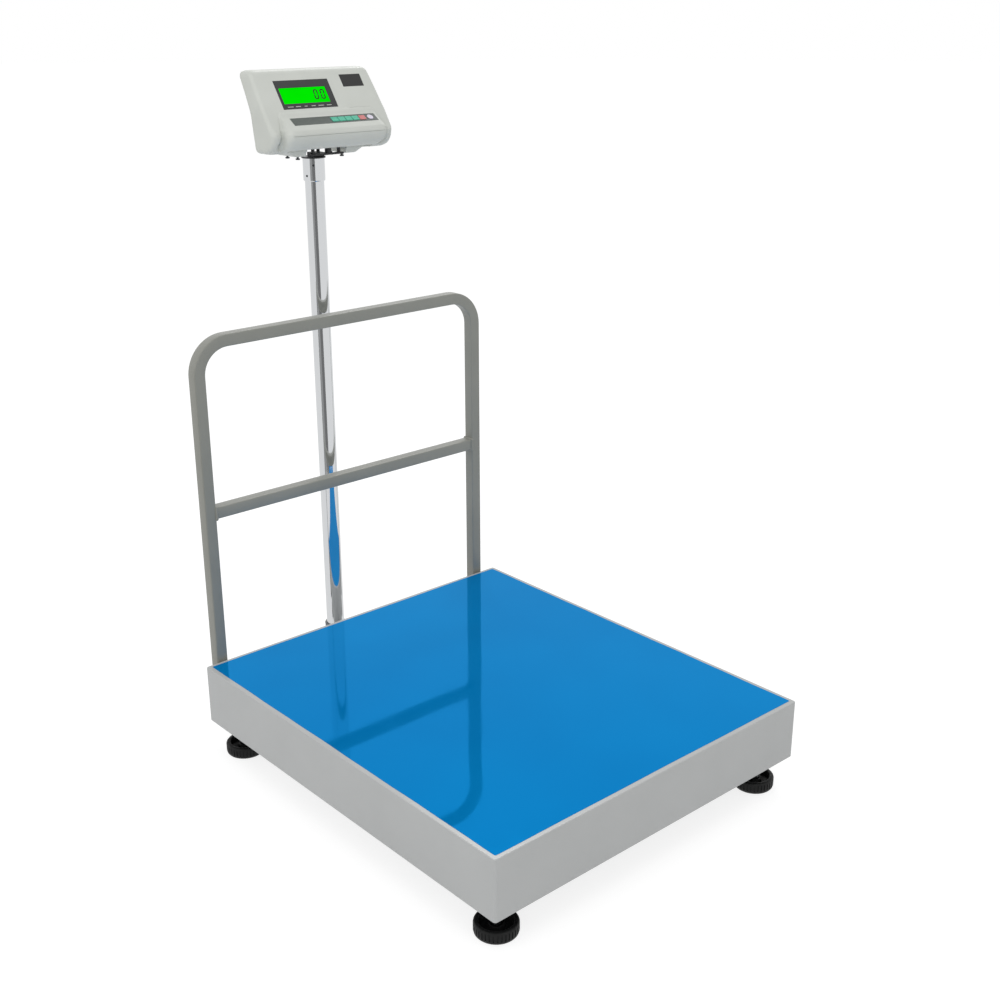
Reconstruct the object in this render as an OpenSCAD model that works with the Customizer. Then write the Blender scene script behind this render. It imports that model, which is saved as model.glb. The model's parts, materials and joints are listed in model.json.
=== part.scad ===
// Platform scale with a guard rail, a column and an indicator head.
// Millimetres. X to the user's right, Y to the back, Z up, the floor at Z = 0.

/* [Platform] */
// Width of the weighing pan
pan_w = 700; // [600:10:900]
// Depth of the weighing pan
pan_d = 800; // [700:10:1000]
// Height of the pan's top above the floor
pan_top_z = 170; // [168:1:180]
// Height of the pan's folded skirt
skirt_h = 108; // [100:1:110]
// Sheet thickness of the pan
pan_t = 2; // [1.5:0.1:2.5]
// Outside radius of the pan's folds
fold_r = 3; // [2:0.5:4]
// Bare margin round the protective film
film_margin = 5.5; // [3:0.5:10]
// Thickness of the protective film
film_t = 0.3; // [0.2:0.1:0.5]

/* [Base frame] */
// Gap between the pan's outer face and the base frame
base_inset = 24; // [22:1:27]
// Width of the base frame's tubes
base_tube_w = 40; // [36:1:40]
// Wall of the base frame's tubes
base_wall = 2.5; // [2:0.5:3]
// Width of the bridge that carries the load cell
bridge_w = 110; // [100:1:120]
// Sheet thickness of the bridge
bridge_t = 4; // [3:0.5:5]

/* [Load cell] */
// Length of the load cell
cell_l = 150; // [140:1:160]
// Width of the load cell
cell_w = 40; // [36:1:44]
// Length of the spacer at each end of the cell
spacer_l = 44; // [40:1:48]

/* [Levelling feet] */
// Diameter of the foot's rubber pad
foot_d = 68; // [60:1:72]
// Height of the pad's rim
foot_h = 22; // [20:1:24]
// Distance of each foot from the pan's side
foot_inset_x = 44; // [44:1:46]
// Distance of each foot from the pan's front or back
foot_inset_y = 47; // [47:1:49]
// Radius of the threaded stud
stud_r = 6; // [5:0.5:6]
// Number of grip grooves round a pad
foot_grooves = 36; // [24:2:40]

/* [Guard rail] */
// Outer width of the rail
rail_w = 644; // [600:2:660]
// Size of the rail's square tube
rail_tube = 22; // [20:1:25]
// Top of the rail above the pan
rail_top = 606; // [500:2:700]
// Centre of the cross bar above the pan
bar_mid = 286; // [200:2:350]
// Bend radius along the middle of the tube
rail_bend = 58; // [50:1:80]
// Gap between the pan and the rail
rail_gap = 6; // [5:1:10]

/* [Column] */
// Diameter of the column
col_d = 35; // [32:1:38]
// Wall of the column
col_wall = 1.5; // [1.2:0.1:2]
// Distance of the column's axis behind the pan
col_gap = 90; // [85:1:100]
// Top of the column above the pan
col_top = 877.4; // [800:0.2:900]
// Diameter of the sleeve that holds the head
sleeve_d = 40; // [39:1:42]
// Length of the sleeve
sleeve_l = 41; // [38:1:60]

/* [Indicator head] */
// Wall of the head's mouldings
head_wall = 2.5; // [2:0.25:3]
// Width of the dark display window
window_w = 115; // [112:1:116]
// Height of the dark display window
window_h = 57; // [56:1:58]
// Travel of each key
key_travel = 0.4; // [0.3:0.05:0.45]

/* [Hidden] */

$fn = 48;
eps = 0.01;
clear = 0.05;

// Levels of the stack, from the floor to the pan
base_z = 52;
base_tube_h = 38;
base_top = base_z + base_tube_h;
spacer_t = 4;
cell_z = base_top + spacer_t;
cell_h = 34;
top_z = cell_z + cell_h + spacer_t;
top_tube = 25;
pan_under = pan_top_z - pan_t;
buffer_h = pan_under - top_z - top_tube;
skirt_z = pan_top_z - skirt_h;

// The origin is under the middle of the whole outline, so the pan lies a little to the front.
// The head reaches head_back behind the column's axis.
head_back = 50;
pan_y = -(col_gap + head_back) / 2;
pan_back = pan_y + pan_d / 2;
col_y = pan_back + col_gap;

// Base frame, measured from the middle of the pan
base_hx = pan_w / 2 - base_inset;
base_hy = pan_d / 2 - foot_inset_y + base_tube_w / 2;
foot_x = pan_w / 2 - foot_inset_x;
foot_y = pan_d / 2 - foot_inset_y;
end_tube_l = 2 * (base_hx - base_tube_w);
end_tube_y = base_hy - base_tube_w / 2;

// Levelling feet: the stud's foot and its moulded-in hexagon, and the grooves of the rim
stud_z = 5;
stud_head_z = 11.5;
stud_head_r = 10.2;
stud_head_top = 16.5;
groove_w = 2.2;
groove_depth = 1;

// Top frame
top_hx = 292.5;
top_hy = 355;
buffer_pos = [top_hx - top_tube / 2, 330];
buffer_r = 12;
drain_x = 240;

// Load cell details
cell_end_x = cell_l / 2 - spacer_l / 2;
cell_bolt_dx = 11;
cell_bolt_dy = 11;
cell_bolt_r = 4;
cell_pocket_r = 11;
cell_pocket_x = 17;
cell_slot_h = 5;

// Overload stops
stop_x = 200;
stop_y = 345;
stop_gap = 1;
stop_r = 5;
hex_m10 = 9.8;
m10_head = 6.4;
hex_m8 = 7.5;
m8_head = 5.3;

// Rail
rail_hx = rail_w / 2 - rail_tube / 2;
rail_y = pan_back + rail_gap + rail_tube / 2;
rail_z = pan_top_z + rail_top - rail_tube / 2;
rail_wall = 1.5;
tab_t = 6;
rail_foot_z = base_z + tab_t;
plug_h = 20;

// Column bracket
arm_t = 8;
arm_z = base_z - 2;
arm_w = 80;
flange_t = 6;
socket_h = 62;
socket_wall = 3.45;
gusset_t = 4;
gusset_x = 12;
bracket_bolt_x = 54;
bracket_bolt_z = [62, 80];

// Cables
cable_r = 2.5;
cable_sides = 8;

// Head: F is forward of the column's axis, H is above the lowest point of the housing
head_z = pan_top_z + 884;
// A point on the display face and one on the key face, and each face's slope from the vertical
face_f = 4;
face_h = 130;
face_slope = 35;
key_f = 47.8;
key_h = 71.2;
key_slope = 57;
lip_hw = 108;
head_dx = 5;
seam_h = 41.5;
skirt_seam_h = 20;

// F of the display face and of the key face at a height
function face_at(h) = face_f + (face_h - h) * tan(face_slope);
function key_at(h) = key_f + (key_h - h) * tan(key_slope);

// Stations of the head's outline, from the bottom up.
// Each is [H, back F, front F, half width, lip F, back corner radius, front corner radius].
head_stations = [
  [10, -7, 42, 122.5, 42, 18, 10],
  [12, -9.5, 47.5, 126, 47.5, 22, 12],
  [14.5, -11, 52, 128, 52.6, 25, 12],
  [17, -11.8, 55, 129, 63, 26, 12],
  [20.5, -12.6, 58.4, 129.5, 70.5, 27, 12],
  [26, -13.4, 61.6, 129.8, 76.8, 28, 11],
  [32, -14.2, 63.8, 130, 80.2, 28, 11],
  [39, -15.2, 65, 130.2, 81.8, 28, 11],
  [44, -16, 65, 130.2, 81.8, 28, 11],
  [49, -16.8, 61.5, 130.2, 80.2, 28, 10],
  [52, -17.3, 58.8, 130.2, key_at(52), 28, 9],
  [71.2, -20.6, 45.3, 130, key_at(71.2), 28, 7],
  [75, -21.5, 42.6, 130, 45.6, 28, 7],
  [79, -23.2, 39.8, 129.8, 42.8, 28, 7],
  [81.5, -24.2, face_at(81.5), 129.6, face_at(81.5), 28, 7],
  [108, -36.7, face_at(108), 128.3, face_at(108), 26, 7],
  [136, -49.6, face_at(136), 126.3, face_at(136), 20, 7],
  [141, -49.2, face_at(141), 125.5, face_at(141), 18, 7],
  [145, -46.5, -7.3, 123, -7.3, 15, 7],
  [147.5, -41, -13, 118, -13, 12, 6]
];
head_mid_h = 78;
head_half_h = 68;
ring_steps = 6;
// The lip is widest at the seam and draws in above and below it.
// A valley parts it from the cheek, and widens into a scoop under the seam.
lip_draw = 8;
lip_draw_h = 32;
valley_w = 5;
valley_depth = 0.8;
scoop_h = 22;
scoop_half_h = 7;
scoop_w = 11;
scoop_depth = 3.6;

// Legs under the housing, between which the bracket sits
leg_x = [43, 90];
leg_f = [-25, 38];
leg_top = 17;
arch_hw = 43;
arch_h = 15;
leg_screw_x = 48;
leg_screw_f = [-19, 14];
leg_screw_r = 2;

// Bracket between the sleeve and the housing
disc_z = pan_top_z + 878;
disc_t = 2.5;
disc_r = 22;
plate_h = 1;
plate_t = 3;
bar_hx = 36;
bar_f = [27, 38];
tongue_x = [-13, 9];
tongue_f = -8;
// Standoffs between the bracket and the housing: [x, F, radius] of each
standoffs = [[-28, 33, 3.2], [5, 33, 6], [28, 33, 3.2], [6.5, -1, 3.2]];

// Screws that close the housing: [x, H] of each, driven from the back, in wells of the rear moulding
close_screws = [[110, 118], [115, 34]];
close_r = 1.75;
boss_r = 4;
well_r = 3.8;

// Display parts, in the plane of the display face
window_x0 = -86;
lcd_x = [-80, 17];
lcd_y = [-46, -15];
label_x = [57.5, 103.5];
label_y = [-18, 7];
board_x = [-96, 70];
board_y = [-60, 4];
board_depth = 14;
board_t = 1.6;
board_hole = [4, 4];
trim_t = 1.5;

// Key parts, in the plane of the key face
strip_x = [-85, 95];
strip_y = [-23.5, -3.5];
well_x = [-11, 91];
well_y = [-21.5, -5.5];
overlay_t = 0.8;
membrane_t = 0.8;
cap_depth = 1.9;
cap_top = 0.9;
well_depth = cap_depth + key_travel + 0.1 + membrane_t;
key_size = 11;
key_y = -13.5;
key_gap = 0.3;
key_w = 13.4;
green_pitch = 15;
green_x0 = 4;
red_x = 64;
pale_x = 81.5;
pale_r = 6;

// Inside the head
tray_z = arch_h + head_wall + clear;
tray_t = 1.2;
battery_size = [92, 24, 52];
battery_x = -58;
battery_f = 22;
transformer_size = [44, 36, 34];
transformer_x = 56;
transformer_f = 22;
inlet_x = 70;
inlet_h = 50;
gland_r = 6.4;

// General helpers

module box(x, y, z) {
  translate([x[0], y[0], z[0]]) cube([x[1] - x[0], y[1] - y[0], z[1] - z[0]]);
}

module at_pan() {
  translate([0, pan_y, 0]) children();
}

module four(x, y) {
  for (sx = [-1, 1], sy = [-1, 1]) translate([sx * x, sy * y, 0]) children();
}

module both(x) {
  for (sx = [-1, 1]) translate([sx * x, 0, 0]) children();
}

function arc_points(c, r, a0, a1, n) =
  [for (i = [0:n]) [c[0] + r * cos(a0 + (a1 - a0) * i / n), c[1] + r * sin(a0 + (a1 - a0) * i / n)]];

function round_rect(hx, hy, r, n = 4) = concat(
  arc_points([hx - r, hy - r], r, 0, 90, n),
  arc_points([-hx + r, hy - r], r, 90, 180, n),
  arc_points([-hx + r, -hy + r], r, 180, 270, n),
  arc_points([hx - r, -hy + r], r, 270, 360, n)
);

// A square tube along X, with its bore open at both ends
module tube_x(len, size_y, size_z, wall) {
  difference() {
    translate([-len / 2, -size_y / 2, 0]) cube([len, size_y, size_z]);
    translate([-len / 2 - 1, -size_y / 2 + wall, wall])
      cube([len + 2, size_y - 2 * wall, size_z - 2 * wall]);
  }
}

module tube_y(len, size_x, size_z, wall) {
  rotate([0, 0, 90]) tube_x(len, size_x, size_z, wall);
}

// A hexagon bolt with its shank along +Z and its head below Z = 0
module hex_bolt(r, len, hex_r, head_h) {
  cylinder(h = len, r = r);
  translate([0, 0, -head_h]) cylinder(h = head_h, r = hex_r, $fn = 6);
}

module hex_nut(r, hex_r, h) {
  difference() {
    cylinder(h = h, r = hex_r, $fn = 6);
    translate([0, 0, -1]) cylinder(h = h + 2, r = r);
  }
}

// A pan-head screw with its shank along +Z and its head below Z = 0
module pan_screw(r, len, head_r, head_h) {
  translate([0, 0, -head_h / 2]) cylinder(h = len + head_h / 2, r = r);
  translate([0, 0, -head_h])
    rotate_extrude()
      polygon(concat([[0, 0]], arc_points([head_r - 1, 1], 1, -90, 0, 4), [[head_r, head_h], [0, head_h]]));
}

// Base frame: a ring of rectangular tube with a bridge across its middle

module base_frame() {
  color("#5c6064") at_pan() difference() {
    union() {
      both(base_hx - base_tube_w / 2)
        translate([0, 0, base_z]) tube_y(2 * base_hy, base_tube_w, base_tube_h, base_wall);
      for (sy = [-1, 1]) translate([0, sy * end_tube_y, base_z])
        tube_x(end_tube_l + 1, base_tube_w, base_tube_h, base_wall);
      base_bridge();
      both(rail_hx) translate([-16, base_hy - eps, base_z])
        cube([32, rail_y - pan_y + rail_tube / 2 - base_hy, tab_t]);
    }
    four(foot_x, foot_y) translate([0, 0, base_z - 1]) cylinder(h = base_tube_h + 2, r = 10);
    for (sx = [-1, 1], sy = [-1, 1]) translate([sx * stop_x, sy * stop_y, base_top - 5])
      cylinder(h = 10, r = stop_r + clear);
    for (p = cell_bolt_places(-cell_end_x)) translate([p[0], p[1], base_top - 10])
      cylinder(h = 20, r = cell_bolt_r + 0.5);
    both(rail_hx) translate([0, rail_y - pan_y, base_z - 1]) cylinder(h = 10, r = cell_bolt_r + 0.3);
    for (x = [-bracket_bolt_x, bracket_bolt_x], z = bracket_bolt_z)
      translate([x, base_hy - 5, z]) rotate([-90, 0, 0]) cylinder(h = 10, r = cell_bolt_r + clear);
  }
}

// The bridge is a channel, open below
module base_bridge() {
  difference() {
    translate([-base_hx + base_tube_w - eps, -bridge_w / 2, base_z])
      cube([end_tube_l + 2 * eps, bridge_w, base_tube_h]);
    translate([-base_hx, -bridge_w / 2 + bridge_t, base_z - 1])
      cube([2 * base_hx, bridge_w - 2 * bridge_t, base_tube_h - bridge_t + 1]);
  }
}

function cell_bolt_places(x) =
  [for (sx = [-1, 1], sy = [-1, 1]) [x + sx * cell_bolt_dx, sy * cell_bolt_dy]];

module foot_bushes() {
  color("#8d9094") at_pan() four(foot_x, foot_y) translate([0, 0, base_z]) difference() {
    cylinder(h = base_tube_h, r = 10 - clear);
    translate([0, 0, -1]) cylinder(h = base_tube_h + 2, r = stud_r + clear);
  }
}

module foot_lock_nuts() {
  color("#b4b6b8") at_pan() four(foot_x, foot_y)
    translate([0, 0, base_z - 8]) hex_nut(stud_r + clear, 10.5, 8);
}

// Levelling foot: a rubber pad with a grooved rim and a dished top, moulded round a stud

module foot_pad() {
  r = foot_d / 2;
  color("#151618") difference() {
    rotate_extrude() polygon([
      [0, 0], [r - 3.5, 0], [r - 1, 1.2], [r, 4], [r, foot_h - 2],
      [r - 0.6, foot_h - 0.6], [r - 1.6, foot_h], [r - 4.6, foot_h], [r - 6, foot_h - 2],
      [r - 9, 10.5], [14, 9], [13, 15], [11.5, stud_head_top], [0, stud_head_top]
    ]);
    for (i = [0:foot_grooves - 1]) rotate([0, 0, i * 360 / foot_grooves])
      translate([r - groove_depth, -groove_w / 2, 4.5]) cube([3, groove_w, foot_h - 7]);
    translate([0, 0, stud_z]) cylinder(h = 20, r = stud_r + clear);
    translate([0, 0, stud_head_z]) cylinder(h = 10, r = stud_head_r + clear, $fn = 6);
  }
}

module foot_stud() {
  color("#b9bbbd") {
    translate([0, 0, stud_z + clear]) cylinder(h = 93, r = stud_r);
    translate([0, 0, stud_head_z + clear]) cylinder(h = 8, r = stud_head_r, $fn = 6);
  }
}

module place_foot(sx, sy) {
  at_pan() translate([sx * foot_x, sy * foot_y, 0]) children();
}

module foot_pad_front_left() {
  place_foot(-1, -1) foot_pad();
}

module foot_pad_front_right() {
  place_foot(1, -1) foot_pad();
}

module foot_pad_rear_left() {
  place_foot(-1, 1) foot_pad();
}

module foot_pad_rear_right() {
  place_foot(1, 1) foot_pad();
}

module foot_stud_front_left() {
  place_foot(-1, -1) foot_stud();
}

module foot_stud_front_right() {
  place_foot(1, -1) foot_stud();
}

module foot_stud_rear_left() {
  place_foot(-1, 1) foot_stud();
}

module foot_stud_rear_right() {
  place_foot(1, 1) foot_stud();
}

// Load cell: a bending beam, thinned by two bores joined by a slot

module load_cell() {
  color("#c9ccce") at_pan() translate([0, 0, cell_z]) difference() {
    translate([-cell_l / 2, -cell_w / 2, 0]) cube([cell_l, cell_w, cell_h]);
    both(cell_pocket_x) translate([0, 0, cell_h / 2]) rotate([90, 0, 0])
      cylinder(h = cell_w + 2, r = cell_pocket_r, center = true);
    translate([-cell_pocket_x, -cell_w / 2 - 1, (cell_h - cell_slot_h) / 2])
      cube([2 * cell_pocket_x, cell_w + 2, cell_slot_h]);
    for (p = cell_bolt_places(-cell_end_x)) translate([p[0], p[1], -1])
      cylinder(h = 22, r = cell_bolt_r + clear);
    for (p = cell_bolt_places(cell_end_x)) translate([p[0], p[1], cell_h - 21])
      cylinder(h = 22, r = cell_bolt_r + clear);
  }
}

module spacer(x, z) {
  color("#8e9194") at_pan() translate([0, 0, z]) difference() {
    translate([x - spacer_l / 2, -cell_w / 2 - 5, 0]) cube([spacer_l, cell_w + 10, spacer_t]);
    for (p = cell_bolt_places(x)) translate([p[0], p[1], -1])
      cylinder(h = spacer_t + 2, r = cell_bolt_r + 0.5);
  }
}

module lower_spacer() {
  spacer(-cell_end_x, base_top);
}

module upper_spacer() {
  spacer(cell_end_x, cell_z + cell_h);
}

module lower_cell_bolts() {
  color("#a9abad") at_pan() for (p = cell_bolt_places(-cell_end_x))
    translate([p[0], p[1], base_top - bridge_t])
      hex_bolt(cell_bolt_r, bridge_t + spacer_t + 18, hex_m8, m8_head);
}

module upper_cell_bolts() {
  color("#a9abad") at_pan() for (p = cell_bolt_places(cell_end_x))
    translate([p[0], p[1], top_z + bridge_t]) mirror([0, 0, 1])
      hex_bolt(cell_bolt_r, bridge_t + spacer_t + 18, hex_m8, m8_head);
}

// Overload stops: bolts that the top frame meets before the cell is strained

module overload_stops() {
  color("#a9abad") at_pan() four(stop_x, stop_y) {
    translate([0, 0, top_z - stop_gap]) mirror([0, 0, 1]) {
      cylinder(h = m10_head, r = hex_m10, $fn = 6);
      cylinder(h = top_z - stop_gap - base_top + base_wall, r = stop_r);
    }
    translate([0, 0, base_top]) hex_nut(stop_r + clear, hex_m10, 8);
  }
}

module level_housing() {
  color("#2b2d30") at_pan() translate([-foot_x, -230, base_top]) difference() {
    cylinder(h = 9, r = 14);
    translate([0, 0, 2]) cylinder(h = 10, r = 10);
  }
}

module level_vial() {
  color("#b9e04a") at_pan() translate([-foot_x, -230, base_top + 2]) {
    cylinder(h = 5.5, r = 10 - clear);
    translate([0, 0, 5.5]) cylinder(h = 1, r1 = 10 - clear, r2 = 9);
  }
}

// Cables: a tube swept along straight runs that are joined by round bends

function unit(v) = v / norm(v);

function bend_points(a, b, c, r, n) =
  let (u = unit(a - b), w = unit(c - b), half = acos(u * w) / 2, d = r / tan(half),
       centre = b + unit(u + w) * r / sin(half), p = b + u * d, q = b + w * d,
       e1 = unit(p - centre), e2 = unit((q - centre) - ((q - centre) * e1) * e1), sweep = 180 - 2 * half)
  [for (i = [0:n]) centre + r * (cos(sweep * i / n) * e1 + sin(sweep * i / n) * e2)];

function tangent(p, i) = unit(p[min(i + 1, len(p) - 1)] - p[max(i - 1, 0)]);

// The frame is carried along the path, so that the tube doesn't twist
function carry(p, i, side) =
  let (t = tangent(p, i), s = unit(side - (side * t) * t))
  i == len(p) - 1 ? [s] : concat([s], carry(p, i + 1, s));

module cable(path, r, side) {
  n = len(path);
  s = carry(path, 0, side);
  points = [for (i = [0:n - 1], k = [0:cable_sides - 1])
    let (a = 360 * k / cable_sides, t = tangent(path, i))
    path[i] + r * (cos(a) * s[i] + sin(a) * cross(t, s[i]))];
  walls = [for (i = [0:n - 2], k = [0:cable_sides - 1])
    let (k2 = (k + 1) % cable_sides, a = i * cable_sides, b = a + cable_sides)
    [a + k, b + k, b + k2, a + k2]];
  first = [for (k = [0:cable_sides - 1]) k];
  last = [for (k = [cable_sides - 1:-1:0]) (n - 1) * cable_sides + k];
  polyhedron(points = points, faces = concat(walls, [first], [last]));
}

// Route of the cell's cable: over the frame, down behind it, under the arm and up the column
cell_route = [
  [-75, 6, 106], [-93, 6, 106], [-93, 6, 92.6], [-292, 6, 92.6], [-292, 364, 92.6], [0, 364, 92.6],
  [0, 385, 92.6], [0, 385, 45.5], [0, 490, 45.5], [0, 490, 1047.4]
];
cell_bends = [7, 6, 14, 14, 9, 9, 12, 14];

function route_path(pts, bends, n = 4) = concat(
  [pts[0]],
  [for (i = [1:len(pts) - 2]) each bend_points(pts[i - 1], pts[i], pts[i + 1], bends[i - 1], n)],
  [pts[len(pts) - 1]]
);

module cell_cable() {
  color("#202124") at_pan() cable(route_path(cell_route, cell_bends), cable_r, [0, 1, 0]);
}

module cable_clips() {
  color("#e6e6e2") at_pan() {
    for (y = [120, 260]) translate([-292, y, base_top]) clip();
    for (x = [-240, -80]) translate([x, 364, base_top]) rotate([0, 0, 90]) clip();
    translate([-190, 6, base_top]) rotate([0, 0, 90]) clip();
  }
}

// A saddle over the cable, with its foot on the tube
module clip() {
  difference() {
    translate([-5.5, -4, 0]) cube([11, 8, 6.6]);
    translate([0, 0, cable_r + 0.1]) rotate([90, 0, 0]) cylinder(h = 20, r = cable_r + 0.15, center = true);
    translate([-cable_r - 0.15, -10, -1]) cube([2 * cable_r + 0.3, 20, cable_r + 1.1]);
  }
}

// Guard rail: a bent square tube with a cross bar between its posts

module rail_section(size) {
  square([size, size], center = true);
}

module rail_bend_part(size) {
  rotate([90, 0, 0]) rotate_extrude(angle = 90) translate([rail_bend, 0]) rail_section(size);
}

module rail_form(size, end) {
  post = rail_z - rail_bend - rail_foot_z;
  both(rail_hx) translate([0, 0, rail_foot_z - end]) linear_extrude(height = post + end) rail_section(size);
  translate([rail_hx - rail_bend, 0, rail_z - rail_bend]) rail_bend_part(size);
  mirror([1, 0, 0]) translate([rail_hx - rail_bend, 0, rail_z - rail_bend]) rail_bend_part(size);
  translate([-(rail_hx - rail_bend), 0, rail_z]) rotate([0, 90, 0])
    linear_extrude(height = 2 * (rail_hx - rail_bend)) rail_section(size);
}

module rail_hoop() {
  color("#8a8d8c") translate([0, rail_y, 0]) {
    difference() {
      rail_form(rail_tube, 0);
      rail_form(rail_tube - 2 * rail_wall, 1);
    }
    rail_plugs();
  }
}

// A threaded plug is welded into the foot of each post
module rail_plugs() {
  s = rail_tube - 2 * rail_wall + 2 * eps;
  both(rail_hx) difference() {
    translate([-s / 2, -s / 2, rail_foot_z]) cube([s, s, plug_h]);
    translate([0, 0, rail_foot_z - 1]) cylinder(h = plug_h + 2, r = cell_bolt_r + clear);
  }
}

module rail_crossbar() {
  len = rail_w - 2 * rail_tube;
  color("#8a8d8c") translate([0, rail_y, pan_top_z + bar_mid - rail_tube / 2])
    tube_x(len, rail_tube, rail_tube, rail_wall);
}

module rail_bolts() {
  color("#a9abad") translate([0, rail_y, base_z]) both(rail_hx)
    hex_bolt(cell_bolt_r, tab_t + 16, hex_m8, m8_head);
}

// Column and its bracket on the back of the base frame

module column_bracket() {
  arm_y0 = base_hy;
  arm_y1 = col_y - pan_y + 26;
  axis_y = col_y - pan_y;
  socket_r = col_d / 2 + clear + socket_wall;
  arm_top = arm_z + arm_t;
  color("#5c6064") at_pan() difference() {
    union() {
      box([-arm_w / 2, arm_w / 2], [arm_y0, arm_y1], [arm_z, arm_top]);
      box([-arm_w / 2 - 26, arm_w / 2 + 26], [arm_y0, arm_y0 + flange_t], [arm_z, base_top - 1]);
      translate([0, axis_y, arm_top - eps]) cylinder(h = socket_h, r = socket_r);
      for (sx = [-1, 1]) translate([sx * gusset_x - gusset_t / 2, 0, 0]) gusset(arm_top, axis_y);
      for (sx = [-1, 1]) translate([sx * (arm_w / 2 - 2) - 2, arm_y0, arm_z - 8]) side_lip(arm_y1 - arm_y0);
    }
    translate([0, axis_y, arm_top]) cylinder(h = socket_h + 1, r = col_d / 2 + clear);
    translate([0, axis_y, arm_z - 1]) cylinder(h = arm_t + 2, r = 9);
    translate([0, 387.5, arm_z - 1]) cylinder(h = arm_t + 2, r = 7);
    for (x = [-bracket_bolt_x, bracket_bolt_x], z = bracket_bolt_z)
      translate([x, arm_y0 - 1, z]) rotate([-90, 0, 0]) cylinder(h = flange_t + 2, r = cell_bolt_r + 0.4);
    for (h = [22, 52]) translate([0, axis_y, arm_top + h]) rotate([-90, 0, 0])
      cylinder(h = 40, r = cell_bolt_r + clear);
  }
}

module gusset(z0, axis_y) {
  y0 = pan_d / 2 + rail_gap;
  rotate([90, 0, 90]) linear_extrude(height = gusset_t)
    polygon([[y0, z0 - eps], [axis_y - 10, z0 - eps], [axis_y - 10, z0 + socket_h - 8],
             [axis_y - 18, z0 + socket_h - 8], [y0, z0 + 6]]);
}

// The arm's sides are folded down, which stiffens it and covers the cable
module side_lip(len) {
  cube([4, len, 8 + eps]);
}

module bracket_bolts() {
  color("#a9abad") at_pan() for (x = [-bracket_bolt_x, bracket_bolt_x], z = bracket_bolt_z)
    translate([x, base_hy + flange_t, z]) rotate([90, 0, 0])
      hex_bolt(cell_bolt_r, flange_t + base_wall + 6, hex_m8, m8_head);
}

module column() {
  z0 = arm_z + arm_t;
  color("#dfe3e6") translate([0, col_y, z0]) difference() {
    cylinder(h = pan_top_z + col_top - z0, r = col_d / 2, $fn = 64);
    translate([0, 0, -1]) cylinder(h = pan_top_z + col_top - z0 + 2, r = col_d / 2 - col_wall, $fn = 64);
  }
}

module column_set_bolts() {
  color("#a9abad") for (h = [22, 52])
    translate([0, col_y + col_d / 2 + 0.1, arm_z + arm_t + h]) rotate([-90, 0, 0]) {
      cylinder(h = 8, r = cell_bolt_r);
      translate([0, 0, 6]) cylinder(h = m8_head, r = hex_m8, $fn = 6);
    }
}

// Top frame: a ring of square tube with a bridge over the cell

module top_frame() {
  side_x = top_hx - top_tube / 2;
  end_y = top_hy - top_tube / 2;
  color("#5c6064") at_pan() difference() {
    union() {
      both(side_x) translate([0, 0, top_z]) tube_y(2 * top_hy, top_tube, top_tube, 2);
      for (sy = [-1, 1]) translate([0, sy * end_y, top_z])
        tube_x(2 * (top_hx - top_tube) + 1, top_tube, top_tube, 2);
      top_bridge();
    }
    for (p = cell_bolt_places(cell_end_x)) translate([p[0], p[1], top_z - 1])
      cylinder(h = bridge_t + 2, r = cell_bolt_r + 0.5);
    four(drain_x, end_y) translate([0, 0, top_z - 1]) cylinder(h = 5, r = 4);
  }
}

// The bridge is a channel, open above
module top_bridge() {
  len = 2 * (top_hx - top_tube);
  difference() {
    translate([-len / 2 - eps, -bridge_w / 2, top_z]) cube([len + 2 * eps, bridge_w, top_tube]);
    translate([-len / 2 - 1, -bridge_w / 2 + bridge_t, top_z + bridge_t])
      cube([len + 2, bridge_w - 2 * bridge_t, top_tube]);
  }
}

module pan_buffers() {
  color("#1b1c1e") at_pan() four(buffer_pos[0], buffer_pos[1]) translate([0, 0, top_z + top_tube])
    rotate_extrude() polygon([[0, 0], [buffer_r, 0], [buffer_r, 3], [buffer_r - 1.5, buffer_h],
                              [0, buffer_h]]);
}

// Pan: one sheet, folded down on four sides, with stiffening ribs beneath

function fold_profile(half, z0, z1, r) = concat(
  [[-half, z0], [half, z0]],
  arc_points([half - r, z1 - r], r, 0, 90, 4),
  arc_points([-half + r, z1 - r], r, 90, 180, 4)
);

module folded_block(hx, hy, z0, z1, r) {
  intersection() {
    translate([0, 0, z0]) linear_extrude(height = z1 - z0) polygon(round_rect(hx, hy, r));
    translate([0, hy + 1, 0]) rotate([90, 0, 0]) linear_extrude(height = 2 * hy + 2)
      polygon(fold_profile(hx, z0, z1, r));
    translate([-hx - 1, 0, 0]) rotate([90, 0, 90]) linear_extrude(height = 2 * hx + 2)
      polygon(fold_profile(hy, z0, z1, r));
  }
}

module pan() {
  rib_x = 130;
  color("#b4b6b8") at_pan() {
    difference() {
      folded_block(pan_w / 2, pan_d / 2, skirt_z, pan_top_z, fold_r);
      box([-pan_w / 2 + pan_t, pan_w / 2 - pan_t], [-pan_d / 2 + pan_t, pan_d / 2 - pan_t],
          [skirt_z - 1, pan_under]);
    }
    both(rib_x) translate([0, 0, pan_under - 8]) difference() {
      translate([-15, -pan_d / 2 + 60, 0]) cube([30, pan_d - 120, 8 + eps]);
      translate([-13, -pan_d / 2, 2]) cube([26, pan_d, 4]);
    }
  }
}

module protective_film() {
  color("#0080c6") at_pan() translate([0, 0, pan_top_z])
    linear_extrude(height = film_t)
      square([pan_w - 2 * film_margin, pan_d - 2 * film_margin], center = true);
}

// Head: places

module at_head() {
  translate([head_dx, col_y, head_z]) children();
}

module at_bracket() {
  translate([0, col_y, head_z]) children();
}

// X along the face, Y up its slope, Z out of it
module on_face() {
  at_head() translate([0, -face_f, face_h]) rotate([90 - face_slope, 0, 0]) children();
}

module on_keys() {
  at_head() translate([0, -key_f, key_h]) rotate([90 - key_slope, 0, 0]) children();
}

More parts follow.
